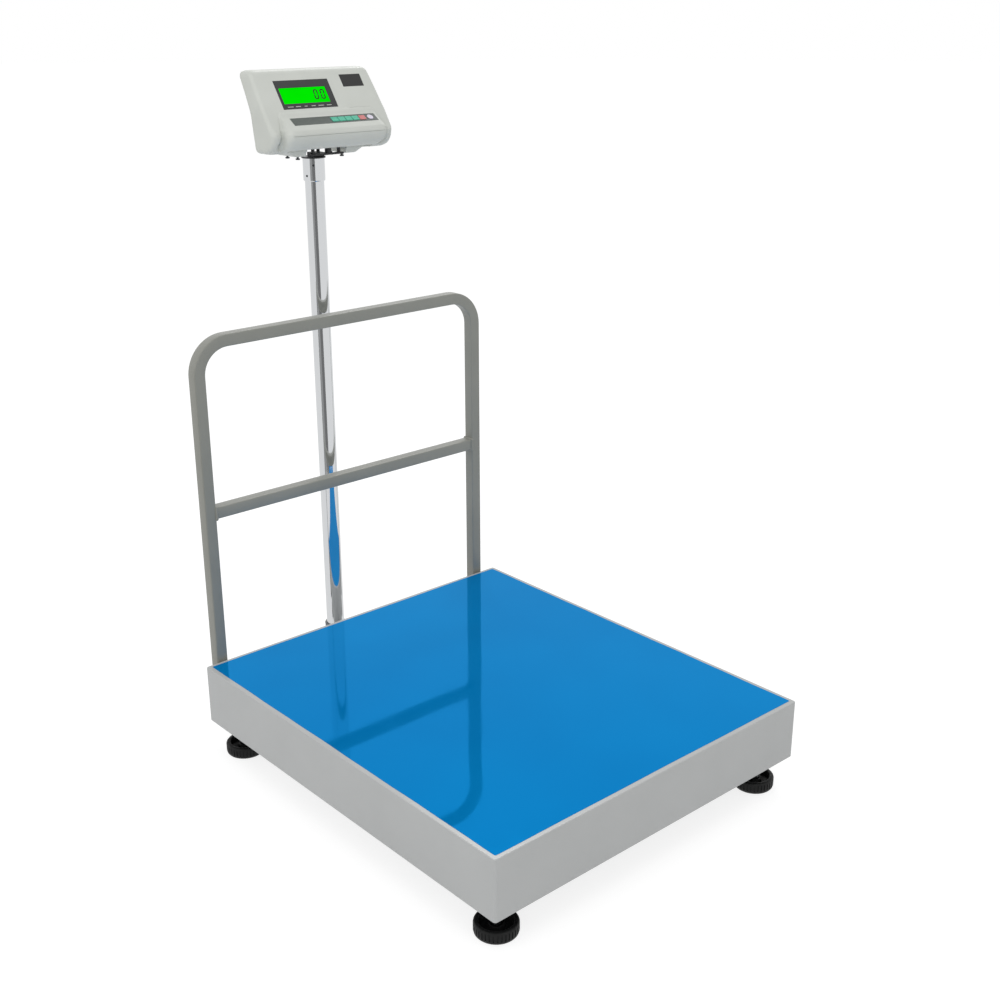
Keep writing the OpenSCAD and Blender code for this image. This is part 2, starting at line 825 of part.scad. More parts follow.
// One ring of the head's outline: a rectangle with round corners and the lip in front.
// t draws it in for the inside of the wall.
function head_ring(s, t) =
  let (b = -s[1] - t * 1.1, f = -s[2] + t * 1.2, w = s[3] - t, lf = min(f, -s[4] + t * 1.35), d = f - lf,
       rb = max(s[5] - t, 1), rf = max(s[6] - t, 1), n = ring_steps, cheek = s[3] - s[6] - 0.5,
       reach = min(lip_reach(s[0]), cheek - valley_w), lw = reach - t,
       vw = min(valley_w + scoop_w * scoop(s[0]), cheek - reach),
       g = min((s[4] - s[2]) / 6, 1) * (valley_depth + scoop_depth * scoop(s[0])))
  concat(
    arc_points([w - rb, b - rb], rb, 0, 90, n),
    arc_points([-w + rb, b - rb], rb, 90, 180, n),
    arc_points([-w + rf, f + rf], rf, 180, 270, n),
    [for (q = [[1, 0], [0.7, 0.6], [0.35, 1]]) [-lw - q[0] * vw, f + q[1] * g]], [[-lw, f - d * 0.3]],
    lip_corner(-lw, lf, d, -1, n),
    lip_corner(lw, lf, d, 1, n),
    [[lw, f - d * 0.3]], [for (q = [[0.35, 1], [0.7, 0.6], [1, 0]]) [lw + q[0] * vw, f + q[1] * g]],
    arc_points([w - rf, f + rf], rf, 270, 360, n)
  );

// Half width of the lip, and how far the scoop is open, at a height
function lip_reach(h) = lip_hw - lip_draw * pow((h - seam_h) / lip_draw_h, 2);
function scoop(h) = exp(-pow((h - scoop_h) / scoop_half_h, 2));

// The lip's corner is a quarter of an ellipse
function lip_corner(x, y, d, side, n) =
  [for (i = [1:n]) let (a = 90 * (side < 0 ? i : n - i + 1) / n)
    [x - side * 14 * (1 - cos(a)), y + d * 0.7 * (1 - sin(a))]];

module head_solid(t) {
  top = len(head_stations) - 1;
  rings = [for (s = head_stations) let (h = head_mid_h + (s[0] - head_mid_h) * (1 - t / head_half_h))
    [for (p = head_ring(s, t)) [p[0], p[1], h]]];
  m = len(rings[0]);
  points = [for (r = rings) each r];
  walls = [for (i = [0:top - 1], k = [0:m - 1]) let (k2 = (k + 1) % m, a = i * m, b = a + m)
    each [[a + k, b + k2, a + k2], [a + k, b + k, b + k2]]];
  lid = [for (k = [m - 1:-1:0]) top * m + k];
  base = [for (k = [0:m - 1]) k];
  polyhedron(points = points, faces = concat(walls, [lid], [base]));
}

// The parts of the head that belong to the rear moulding, as outlines of [F, H]:
// its back over the whole width, and its underside between the wings
rear_back = [[-2, -20], [-2, 26], [-10, 76], [-37, 132], [-37, 170], [-100, 170], [-100, -20]];
rear_under = [[100, -20], [100, seam_h], [52, seam_h], [52, skirt_seam_h], [-3, skirt_seam_h], [-3, -20]];
rear_under_hw = lip_hw + 2.5;

module profile_block(outline, hw) {
  translate([hw, 0, 0]) rotate([90, 0, -90]) linear_extrude(height = 2 * hw) polygon(outline);
}

module rear_region() {
  profile_block(rear_back, 200);
  profile_block(rear_under, rear_under_hw);
}

module front_housing() {
  color("#c3c7c1") difference() {
    at_head() head_solid(0);
    at_head() difference() {
      rear_region();
      close_bosses();
    }
    difference() {
      at_head() head_solid(head_wall);
      at_head() close_bosses();
      on_keys() box([well_x[0] - 3, well_x[1] + 3], [well_y[0] - 3, well_y[1] + 2], [-well_depth - 2, 1]);
      board_posts();
    }
    window_cuts();
    key_cuts();
    board_holes() translate([0, 0, -board_depth - 1]) cylinder(h = 9, r = 1.3 + clear);
    at_head() for (sx = [-1, 1], p = close_screws) translate([sx * p[0], close_back(p) + 1, p[1]])
      rotate([90, 0, 0]) cylinder(h = 14, r = close_r + clear);
  }
}

// Front and back ends of the boss for a closing screw
function close_front(p) = p[1] > seam_h ? -face_at(p[1]) : -63;
function close_back(p) = p[1] > seam_h ? 34 : 4;

// The front moulding's bosses, which reach a little over the seam
module close_bosses() {
  for (sx = [-1, 1], p = close_screws) translate([sx * p[0], close_front(p), p[1]]) rotate([-90, 0, 0])
    cylinder(h = close_back(p) - close_front(p), r = boss_r);
}

module board_holes() {
  on_face() for (x = [board_x[0] + board_hole[0], board_x[1] - board_hole[0]],
                 y = [board_y[0] + board_hole[1], board_y[1] - board_hole[1]])
    translate([x, y, 0]) children();
}

module board_posts() {
  board_holes() translate([0, 0, -board_depth]) cylinder(h = board_depth, r = 3);
}

module window_cuts() {
  on_face() {
    box([window_x0, window_x0 + window_w], [-window_h, 0], [-trim_t, 5]);
    box([lcd_x[0] - 1, lcd_x[1] + 1], [lcd_y[0] - 1, lcd_y[1] + 1], [-8, 5]);
    box(label_x, label_y, [-0.8, 5]);
  }
}

module key_cuts() {
  on_keys() {
    box(strip_x, strip_y, [-0.6, 8]);
    box(well_x, well_y, [-well_depth, 8]);
  }
}

module rear_housing() {
  color("#bfc3bd") difference() {
    at_head() union() {
      intersection() {
        head_solid(0);
        rear_region();
      }
      for (sx = [-1, 1]) leg(sx);
    }
    at_head() difference() {
      head_solid(head_wall);
      arch(head_wall);
      leg_screw_places() cylinder(h = tray_z - clear, r = leg_screw_r + 2.5);
      for (sx = [-1, 1], p = close_screws) translate([sx * p[0], close_back(p) + clear, p[1]])
        rotate([-90, 0, 0]) cylinder(h = 60, r = well_r + 1.6);
    }
    at_head() {
      arch(0);
      leg_screw_places() translate([0, 0, -1]) cylinder(h = 30, r = leg_screw_r + 0.2);
      for (sx = [-1, 1], p = close_screws) translate([sx * p[0], close_back(p), p[1]]) rotate([-90, 0, 0]) {
        translate([0, 0, -1]) cylinder(h = 6, r = close_r + 0.3);
        translate([0, 0, 3]) cylinder(h = 60, r = well_r);
      }
      translate([inlet_x - 10.5, 0, inlet_h - 6.5]) cube([21, 60, 13]);
      vents();
    }
    at_bracket() translate([0, 0, 5]) cylinder(h = 20, r = gland_r + 0.1);
    standoff_places() translate([0, 0, 5]) cylinder(h = 20, r = 1.5);
  }
}

// The hollow under the housing, open to the front and the sides, in which the bracket sits.
// wall grows it into its own roof.
module arch(wall) {
  box([-arch_hw - wall, arch_hw + wall], [-100, wall > 0 ? 8 : 40], [-5, arch_h + wall]);
  box([-leg_x[1] - wall, leg_x[1] + wall], [-100, -leg_f[1] + wall], [-5, arch_h + wall]);
}

module leg_screw_places() {
  for (sx = [-1, 1], f = leg_screw_f) translate([sx * leg_screw_x, -f, 0]) children();
}

module standoff_places() {
  at_head() for (s = standoffs) translate([s[0], -s[1], 0]) children();
}

// A leg is a slanted block with a dished underside
module leg(sx) {
  f0 = leg_f[0];
  f1 = leg_f[1];
  mirror([sx < 0 ? 1 : 0, 0, 0]) difference() {
    intersection() {
      translate([0, 100, 0]) rotate([90, 0, 0]) linear_extrude(height = 200)
        polygon([[leg_x[0], leg_top], [leg_x[0], 2], [leg_x[0] + 1, 1], [leg_x[0] + 20, 1],
                 [leg_x[0] + 23, 2], [leg_x[1], leg_top]]);
      rotate([90, 0, 90]) linear_extrude(height = 200)
        polygon([[-f0, leg_top], [-f0, 4], [-f0 - 3, 1], [-f1 + 7, 1], [-f1 + 5, 2], [-f1, leg_top]]);
    }
    box([leg_x[0] + 11, leg_x[0] + 16], [-f1 + 10, -20], [-1, 6]);
  }
}

module vents() {
  for (i = [0:5]) translate([-62 + i * 9, 0, 52]) cube([4, 60, 26]);
}

module housing_screws() {
  color("#6f7275") at_head() for (sx = [-1, 1], p = close_screws)
    translate([sx * p[0], close_back(p) + 3, p[1]]) rotate([90, 0, 0]) pan_screw(close_r, 14, 3.4, 2.2);
}

module leg_screws() {
  color("#5a5d60") at_head() leg_screw_places() translate([0, 0, -3.5])
    pan_screw(leg_screw_r, tray_z + tray_t + 5, 4, 2.6);
}

module battery_tray() {
  color("#9fa3a6") difference() {
    at_head() {
      box([-106, 84], [-45, 3], [tray_z, tray_z + tray_t]);
      box([-106, 84], [-45, -43.8], [tray_z, tray_z + 8]);
    }
    at_bracket() translate([0, 0, tray_z - 1]) cylinder(h = 5, r = 7);
    at_head() leg_screw_places() translate([0, 0, tray_z - 1]) cylinder(h = 5, r = leg_screw_r + clear);
  }
}

module battery() {
  s = battery_size;
  color("#26282b") at_head() translate([battery_x, -battery_f, tray_z + tray_t + 0.05]) {
    difference() {
      translate([-s[0] / 2, -s[1] / 2, 0]) cube([s[0], s[1], s[2] - 6]);
      for (f = leg_screw_f) translate([-leg_screw_x - battery_x, battery_f - f, -1]) cylinder(h = 12, r = 3);
    }
    for (x = [-s[0] / 2 + 10, -s[0] / 2 + 26]) translate([x - 2.4, -0.4, s[2] - 6 - eps]) cube([4.8, 0.8, 6]);
  }
}

module transformer() {
  s = transformer_size;
  color("#7a6a4a") at_head() translate([transformer_x, -transformer_f, tray_z + tray_t + 0.05]) difference() {
    union() {
      translate([-s[0] / 2, -s[1] / 2 + 8, 0]) cube([s[0], s[1] - 16, s[2]]);
      translate([-s[0] / 2 + 7, -s[1] / 2, 5]) cube([s[0] - 14, s[1], s[2] - 10]);
    }
    for (f = leg_screw_f) translate([leg_screw_x - transformer_x, transformer_f - f, -1])
      cylinder(h = 12, r = 3);
  }
}

module power_inlet() {
  color("#1d1e20") at_head() translate([inlet_x, 15.5, inlet_h]) difference() {
    translate([-10.3, -14, -6.3]) cube([20.6, 16, 12.6]);
    both(4) translate([0, 2.1, 0]) rotate([90, 0, 0]) cylinder(h = 12, r = 3.6);
    translate([-4, -9.9, -3.6]) cube([8, 12, 7.2]);
  }
}

// Route of the cable from the column's top to the socket on the board
head_route = [[0, 0, -6.5], [0, 0, 42], [15, 13.6, 77.4], [15, -4, 89.7]];
head_bends = [14, 9];

module head_cable() {
  color("#202124") at_bracket() cable(route_path(head_route, head_bends), cable_r, [1, 0, 0]);
}

module cable_gland() {
  color("#1d1e20") at_bracket() translate([0, 0, arch_h - 3]) difference() {
    union() {
      cylinder(h = 3, r = gland_r + 1.1);
      translate([0, 0, 3 - eps]) cylinder(h = 3.5, r = gland_r);
    }
    translate([0, 0, -1]) cylinder(h = 10, r = cable_r + 0.15);
  }
}

module circuit_board() {
  under = -board_depth - board_t;
  color("#1f6b42") difference() {
    on_face() {
      box(board_x, board_y, [under, -board_depth]);
      box([30, 48], [-52, -38], [under - 9, under + eps]);
      translate([56, -20, under - 8]) cylinder(h = 8 + eps, r = 6);
      box([3, 17], [-38, -28], [under - 7, under + eps]);
    }
    board_holes() translate([0, 0, under - 1]) cylinder(h = board_t + 2, r = 1.6);
  }
}

module board_screws() {
  color("#b0b3b5") board_holes() translate([0, 0, -board_depth - board_t]) pan_screw(1.3, 8, 2.8, 1.8);
}

module display_window() {
  color("#3c3e40") on_face() difference() {
    box([window_x0 + clear, window_x0 + window_w - clear], [-window_h + clear, -clear],
        [-trim_t + clear, 0.05]);
    box(lcd_x, lcd_y, [-5, 5]);
  }
}

module lcd_panel() {
  color("#20f020") on_face()
    box([lcd_x[0] + clear, lcd_x[1] - clear], [lcd_y[0] + clear, lcd_y[1] - clear], [-3, -0.35]);
}

module lcd_backlight() {
  color("#e8efe6") on_face() {
    box([lcd_x[0] + clear, lcd_x[1] - clear], [lcd_y[0] + clear, lcd_y[1] - clear], [-7, -3.05]);
    both(30) translate([lcd_x[0] / 2 + lcd_x[1] / 2, lcd_y[0] / 2 + lcd_y[1] / 2, -board_depth + 0.05])
      cylinder(h = board_depth - 7, r = 2.5);
  }
}

module blank_label() {
  color("#38393b") on_face()
    box([label_x[0] + clear, label_x[1] - clear], [label_y[0] + clear, label_y[1] - clear],
        [-0.8 + clear, 0.1]);
}

// Keys: a hard cap with a flange under the overlay, above a membrane of domes

module rounded_key(w, h, r, z0, z1) {
  translate([0, 0, z0]) linear_extrude(height = z1 - z0) polygon(round_rect(w / 2, h / 2, r));
}

module key_windows(grow) {
  for (x = concat([for (i = [0:3]) green_x0 + i * green_pitch], [red_x])) translate([x, key_y, 0])
    rounded_key(key_w + grow, key_size + grow, 1.5, -3, 3);
}

module key_overlay() {
  color("#656c68") on_keys() difference() {
    box([strip_x[0] + clear, strip_x[1] - clear], [strip_y[0] + clear, strip_y[1] - clear],
        [-0.6 + clear, overlay_t - 0.6]);
    key_windows(2 * key_gap);
    translate([pale_x, key_y, -3]) cylinder(h = 6, r = pale_r + key_gap);
  }
}

module key_membrane() {
  color("#2b2c2e") on_keys() {
    box([well_x[0] + clear, well_x[1] - clear], [well_y[0] + clear, well_y[1] - clear],
        [-well_depth + clear, -well_depth + membrane_t]);
  }
}

module key_cap(x, rgb) {
  color(rgb) on_keys() translate([x, key_y, 0]) {
    rounded_key(key_w, key_size, 1.5, -cap_depth, cap_top);
    rounded_key(key_w + 0.3, key_size + 2, 1, -cap_depth, 1 - cap_depth);
  }
}

module key_green_1() {
  key_cap(green_x0, "#46b496");
}

module key_green_2() {
  key_cap(green_x0 + green_pitch, "#46b496");
}

module key_green_3() {
  key_cap(green_x0 + 2 * green_pitch, "#46b496");
}

module key_green_4() {
  key_cap(green_x0 + 3 * green_pitch, "#46b496");
}

module key_red() {
  key_cap(red_x, "#c86e6e");
}

module key_pale() {
  color("#d6cfe0") on_keys() translate([pale_x, key_y, 0]) {
    translate([0, 0, -cap_depth]) cylinder(h = cap_depth + cap_top, r = pale_r);
    translate([0, 0, -cap_depth]) cylinder(h = 1, r = pale_r + 0.8);
  }
}

// Sleeve and bracket that hold the head on the column

module column_sleeve() {
  color("#dfe3e6") translate([0, col_y, disc_z - sleeve_l]) difference() {
    rotate_extrude($fn = 64) polygon([
      [col_d / 2 + clear, 0], [sleeve_d / 2 - 1.2, 0], [sleeve_d / 2, 1.5], [sleeve_d / 2, sleeve_l],
      [col_d / 2 + clear, sleeve_l]
    ]);
    sleeve_holes(2 + clear, 0);
  }
}

// Directions and heights of the two set screws in the sleeve
set_screws = [[-75, 10], [-36, 29]];

module sleeve_holes(r, out) {
  for (s = set_screws) translate([0, 0, s[1]]) rotate([0, 0, s[0]]) rotate([90, 0, 0])
    translate([0, 0, col_d / 2 - 2]) cylinder(h = 8 + out, r = r);
}

module sleeve_screws() {
  color("#4a4c4e") translate([0, col_y, disc_z - sleeve_l])
    for (s = set_screws) translate([0, 0, s[1]]) rotate([0, 0, s[0]]) rotate([90, 0, 0])
      translate([0, 0, col_d / 2 + 0.1]) difference() {
        cylinder(h = 2.9, r = 2);
        translate([0, 0, 1.6]) cylinder(h = 3, r = 1.1, $fn = 6);
      }
}

module head_bracket() {
  color("#17181a") difference() {
    union() {
      translate([0, col_y, disc_z]) cylinder(h = disc_t, r = disc_r);
      at_head() {
        box([-bar_hx, bar_hx], [-bar_f[1], -bar_f[0]], [plate_h, plate_h + plate_t]);
        box(tongue_x, [-bar_f[0] - eps, -tongue_f], [plate_h, plate_h + plate_t]);
        box(tongue_x, [-14, -tongue_f], [disc_z + disc_t - head_z - eps, plate_h + eps]);
      }
    }
    translate([0, col_y, disc_z - 1]) cylinder(h = 30, r = 3.6);
    standoff_places() translate([0, 0, plate_h - 1]) cylinder(h = 10, r = 1.5);
  }
}

module head_standoffs() {
  z0 = plate_h + plate_t;
  h = arch_h - z0;
  color("#1b1c1e") at_head() for (s = standoffs) translate([s[0], -s[1], z0]) {
    cylinder(h = h, r = s[2]);
    translate([0, 0, -plate_t]) cylinder(h = h + plate_t + 2.4, r = 1.45);
  }
}

base_frame();
foot_bushes();
foot_lock_nuts();
load_cell();
lower_spacer();
lower_cell_bolts();
overload_stops();
level_housing();
level_vial();
cell_cable();
cable_clips();
rail_hoop();
rail_crossbar();
rail_bolts();
column_bracket();
bracket_bolts();
column();
column_set_bolts();
foot_pad_front_left();
foot_pad_front_right();
foot_pad_rear_left();
foot_pad_rear_right();
foot_stud_front_left();
foot_stud_front_right();
foot_stud_rear_left();
foot_stud_rear_right();
top_frame();
upper_spacer();
upper_cell_bolts();
pan_buffers();
pan();
protective_film();
column_sleeve();
sleeve_screws();
head_bracket();
head_standoffs();
rear_housing();
front_housing();
housing_screws();
leg_screws();
battery_tray();
battery();
transformer();
power_inlet();
head_cable();
cable_gland();
circuit_board();
board_screws();
display_window();
lcd_panel();
lcd_backlight();
blank_label();
key_overlay();
key_membrane();
key_green_1();
key_green_2();
key_green_3();
key_green_4();
key_red();
key_pale();
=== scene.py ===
"""A platform scale with a guard rail, a column and an indicator: its finishes and finer shapes."""

import json
import math

import bpy
from mathutils import Matrix, Vector


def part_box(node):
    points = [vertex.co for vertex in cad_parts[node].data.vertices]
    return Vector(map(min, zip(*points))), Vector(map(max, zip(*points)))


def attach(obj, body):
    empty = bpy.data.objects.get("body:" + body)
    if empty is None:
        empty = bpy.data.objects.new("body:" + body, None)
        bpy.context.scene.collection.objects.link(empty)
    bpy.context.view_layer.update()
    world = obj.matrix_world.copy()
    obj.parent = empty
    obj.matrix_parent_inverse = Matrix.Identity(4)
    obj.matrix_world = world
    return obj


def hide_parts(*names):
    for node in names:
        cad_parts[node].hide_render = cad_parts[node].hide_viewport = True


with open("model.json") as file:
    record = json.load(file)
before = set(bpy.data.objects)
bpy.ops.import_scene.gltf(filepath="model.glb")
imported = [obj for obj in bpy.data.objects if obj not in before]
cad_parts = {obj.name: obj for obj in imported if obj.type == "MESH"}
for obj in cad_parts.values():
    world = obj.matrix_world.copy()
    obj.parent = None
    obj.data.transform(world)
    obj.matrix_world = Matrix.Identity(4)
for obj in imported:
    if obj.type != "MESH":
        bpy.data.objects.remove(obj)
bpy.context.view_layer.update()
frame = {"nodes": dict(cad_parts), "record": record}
nodes = frame["nodes"]
body_of = {n: b for b, members in frame["record"]["behaviour"]["bodies"].items() for n in members}

MM = 0.001

# Camera: where the photograph was taken from, seen from the middle of the pan's top
AZIMUTH, ELEVATION, ROLL = (math.radians(a) for a in (-41.597, 20.283, -0.106))
LENS_MM = 49.004
SENSOR_MM = 36
PAN_MIDDLE = Vector((0, -0.070, 0.170))
STAND_OFF = Vector((0.011606, 0.328286, 2.431247))


def place_camera():
    back = Vector((math.sin(AZIMUTH) * math.cos(ELEVATION),
                   -math.cos(AZIMUTH) * math.cos(ELEVATION), math.sin(ELEVATION)))
    right = Vector((math.cos(AZIMUTH), math.sin(AZIMUTH), 0))
    turn = Matrix((right, back.cross(right), back)).transposed().to_4x4() @ Matrix.Rotation(ROLL, 4, "Z")
    camera = bpy.data.objects.new("camera", bpy.data.cameras.new("camera"))
    bpy.context.scene.collection.objects.link(camera)
    camera.data.sensor_width = SENSOR_MM
    camera.data.lens = LENS_MM
    camera.matrix_world = Matrix.Translation(PAN_MIDDLE + turn.to_3x3() @ STAND_OFF) @ turn
    bpy.context.scene.camera = camera


place_camera()


# Materials

def linear(code):
    """An sRGB hex colour as the linear colour that a shader takes."""
    channels = [int(code[i:i + 2], 16) / 255 for i in (0, 2, 4)]
    return [c / 12.92 if c <= 0.04045 else ((c + 0.055) / 1.055) ** 2.4 for c in channels] + [1]


def add(tree, kind, sockets=None, **settings):
    """Adds a node. sockets gives each input a value, or the output that feeds it."""
    node = tree.nodes.new("ShaderNode" + kind)
    for name, value in settings.items():
        setattr(node, name, value)
    for key, value in (sockets or {}).items():
        if isinstance(value, bpy.types.NodeSocket):
            tree.links.new(value, node.inputs[key])
        else:
            node.inputs[key].default_value = value
    return node


def surface(name, code, **sockets):
    """A material and its shader. Whatever is the same all over is set on the shader itself."""
    material = bpy.data.materials.new(name)
    material.use_nodes = True
    tree = material.node_tree
    shader = tree.nodes["Principled BSDF"]
    shader.inputs["Base Color"].default_value = linear(code)
    for key, value in sockets.items():
        shader.inputs[key.replace("_", " ")].default_value = value
    return material, tree, shader


def place_on(tree, stretch=(1, 1, 1)):
    """Object coordinates, in metres, drawn out along an axis where stretch is below 1."""
    coords = add(tree, "TexCoord")
    return add(tree, "Mapping", {"Vector": coords.outputs["Object"], "Scale": stretch}).outputs["Vector"]


def mottle(tree, size, low, high, stretch=(1, 1, 1), detail=2.0):
    """A soft uneven pattern whose patches are about size across, from low to high."""
    noise = add(tree, "TexNoise", {"Vector": place_on(tree, stretch), "Scale": 1 / size, "Detail": detail})
    # Most of this noise lies between 0.3 and 0.7
    return add(tree, "MapRange", {"Value": noise.outputs["Fac"], "From Min": 0.3, "From Max": 0.7,
                                  "To Min": low, "To Max": high}, clamp=False).outputs["Result"]


def tint(tree, shader, code_low, code_high, size, stretch=(1, 1, 1)):
    """The colour wanders a little between two codes."""
    mix = add(tree, "Mix", {0: mottle(tree, size, 0, 1, stretch)}, data_type="RGBA")
    mix.inputs[6].default_value = linear(code_low)
    mix.inputs[7].default_value = linear(code_high)
    tree.links.new(mix.outputs[2], shader.inputs["Base Color"])


def emboss(tree, shader, height, depth):
    """Relief of the given real depth from a height pattern of 0 to 1."""
    bump = add(tree, "Bump", {"Height": height, "Distance": depth, "Strength": 1.0})
    tree.links.new(bump.outputs["Normal"], shader.inputs["Normal"])


def moulded_abs(name, low, high):
    # ABS moulded against a spark-eroded tool: satin, with a fine even grain and hardly any colour change.
    # Such a grain is about 0.3 mm wide. It is drawn 0.7 mm wide so that it shows.
    material, tree, shader = surface(name, low, IOR=1.53, Specular_IOR_Level=0.25)
    tint(tree, shader, low, high, 60 * MM)
    tree.links.new(mottle(tree, 25 * MM, 0.40, 0.50), shader.inputs["Roughness"])
    emboss(tree, shader, mottle(tree, 0.7 * MM, 0, 1), 0.012 * MM)
    return material


def powder_coat(name, low, high, rough_low, rough_high, peel=2.2 * MM, depth=0.02 * MM):
    # Polyester powder baked on steel: an orange peel a few millimetres wide and an even shine.
    material, tree, shader = surface(name, low, IOR=1.5)
    tint(tree, shader, low, high, 120 * MM)
    tree.links.new(mottle(tree, 40 * MM, rough_low, rough_high), shader.inputs["Roughness"])
    emboss(tree, shader, mottle(tree, peel, 0, 1, detail=0.0), depth)
    return material


def gloss_film(name, low, high):
    # Blue PVC protective film laid on the pan: glossy, with blue reflections that pale only towards the
    # horizon, rippled a little where it was rolled down.
    material, tree, shader = surface(name, low, Metallic=0.36, Specular_IOR_Level=0.0,
                                     Specular_Tint=(0.85, 1.0, 1.0, 1.0))
    tint(tree, shader, low, high, 300 * MM)
    tree.links.new(mottle(tree, 50 * MM, 0.03, 0.07), shader.inputs["Roughness"])
    emboss(tree, shader, mottle(tree, 120 * MM, 0, 1, (1, 0.4, 1), 0.0), 0.12 * MM)
    return material


def chrome(name, code):
    # Decorative chrome on a drawn steel tube: a mirror with faint lines along the tube.
    material, tree, shader = surface(name, code, Metallic=1.0)
    tree.links.new(mottle(tree, 3 * MM, 0.04, 0.10, (1, 1, 0.02)), shader.inputs["Roughness"])
    emboss(tree, shader, mottle(tree, 2 * MM, 0, 1, (1, 1, 0.02)), 0.002 * MM)
    return material


def plated_steel(name, low, high):
    # Zinc-plated or blackened screws: grey metal whose plating is cloudy from one spot to the next.
    material, tree, shader = surface(name, low, Metallic=1.0)
    tint(tree, shader, low, high, 6 * MM)
    tree.links.new(mottle(tree, 4 * MM, 0.26, 0.42), shader.inputs["Roughness"])
    emboss(tree, shader, mottle(tree, 0.8 * MM, 0, 1), 0.01 * MM)
    return material


def milled_metal(name, low, high, stretch):
    # Milled or brushed flats: fine lines one way, which smear the light across them.
    material, tree, shader = surface(name, low, Metallic=1.0)
    tint(tree, shader, low, high, 2 * MM, stretch)
    tree.links.new(mottle(tree, 1.2 * MM, 0.30, 0.46, stretch), shader.inputs["Roughness"])
    emboss(tree, shader, mottle(tree, 0.9 * MM, 0, 1, stretch), 0.012 * MM)
    return material


def dull_black(name, low, high):
    # Moulded rubber and PVC: dull black with a dry bloom and a fine pitted skin. The display's dark
    # figures have the same dullness, and are too small for the pits to show.
    material, tree, shader = surface(name, low, IOR=1.52, Specular_IOR_Level=0.25)
    tint(tree, shader, low, high, 9 * MM)
    tree.links.new(mottle(tree, 5 * MM, 0.42, 0.62), shader.inputs["Roughness"])
    emboss(tree, shader, mottle(tree, 0.6 * MM, 0, 1), 0.03 * MM)
    return material


def printed_panel(name, low, high, rough):
    # Polycarbonate printed on its back: a flat dark colour under a clear shine with tiny ripples.
    material, tree, shader = surface(name, low, IOR=1.58, Roughness=rough, Coat_Weight=0.1,
                                     Coat_Roughness=0.04, Specular_IOR_Level=0.3)
    tint(tree, shader, low, high, 30 * MM)
    emboss(tree, shader, mottle(tree, 4 * MM, 0, 1), 0.004 * MM)
    return material


def lit_display(name, low, high):
    # A liquid crystal display over a green backlight: an even glow, a little cloudy.
    material, tree, shader = surface(name, low, Roughness=0.25, Specular_IOR_Level=0.0)
    glow = add(tree, "Mix", {0: mottle(tree, 55 * MM, 0, 1)}, data_type="RGBA")
    glow.inputs[6].default_value = linear(low)
    glow.inputs[7].default_value = linear(high)
    tree.links.new(glow.outputs[2], shader.inputs["Emission Color"])
    shader.inputs["Emission Strength"].default_value = 0.9
    shader.inputs["Base Color"].default_value = linear("003c00")
    return material


def screen_print(name, low, high):
    # Ink screen-printed on polyester: satin, with the fine texture of the screen.
    material, tree, shader = surface(name, low, IOR=1.5)
    tint(tree, shader, low, high, 8 * MM)
    tree.links.new(mottle(tree, 3 * MM, 0.36, 0.48), shader.inputs["Roughness"])
    emboss(tree, shader, mottle(tree, 0.5 * MM, 0, 1), 0.01 * MM)
    return material


def solder_mask(name):
    # A fibreglass board under green solder mask: glossy, with paler copper tracks showing through in a grid.
    material, tree, shader = surface(name, "1f6b42", IOR=1.5)
    tracks = add(tree, "TexBrick", {
        "Vector": place_on(tree), "Scale": 1.0, "Brick Width": 9 * MM, "Row Height": 3 * MM,
        "Mortar Size": 0.35 * MM, "Color1": linear("1c5f3b"), "Color2": linear("226f46"),
        "Mortar": linear("3c9562")})
    tree.links.new(tracks.outputs["Color"], shader.inputs["Base Color"])
    tree.links.new(mottle(tree, 6 * MM, 0.2, 0.35), shader.inputs["Roughness"])
    emboss(tree, shader, tracks.outputs["Fac"], 0.03 * MM)
    return material


def laminated_core(name):
    # A transformer's stacked sheets: dark varnished steel in lines half a millimetre apart, drawn 2 mm
    # apart so that they show. The wave pattern has 20 radians to a metre at scale 1.
    material, tree, shader = surface(name, "5c4a30", Metallic=0.6)
    line_spacing = 2 * MM
    sheets = add(tree, "TexWave", {"Vector": place_on(tree), "Scale": 2 * math.pi / (20 * line_spacing),
                                   "Distortion": 0.4}, bands_direction="Y")
    mix = add(tree, "Mix", {0: sheets.outputs["Fac"]}, data_type="RGBA")
    mix.inputs[6].default_value = linear("463824")
    mix.inputs[7].default_value = linear("6f5a3c")
    tree.links.new(mix.outputs[2], shader.inputs["Base Color"])
    tree.links.new(mottle(tree, 5 * MM, 0.35, 0.55), shader.inputs["Roughness"])
    emboss(tree, shader, sheets.outputs["Fac"], 0.05 * MM)
    return material


def clear_vial(name):
    # An acrylic vial of yellow-green spirit.
    material, tree, shader = surface(name, "c6ea52", IOR=1.49, Transmission_Weight=0.7)
    tree.links.new(mottle(tree, 8 * MM, 0.04, 0.10), shader.inputs["Roughness"])
    return material


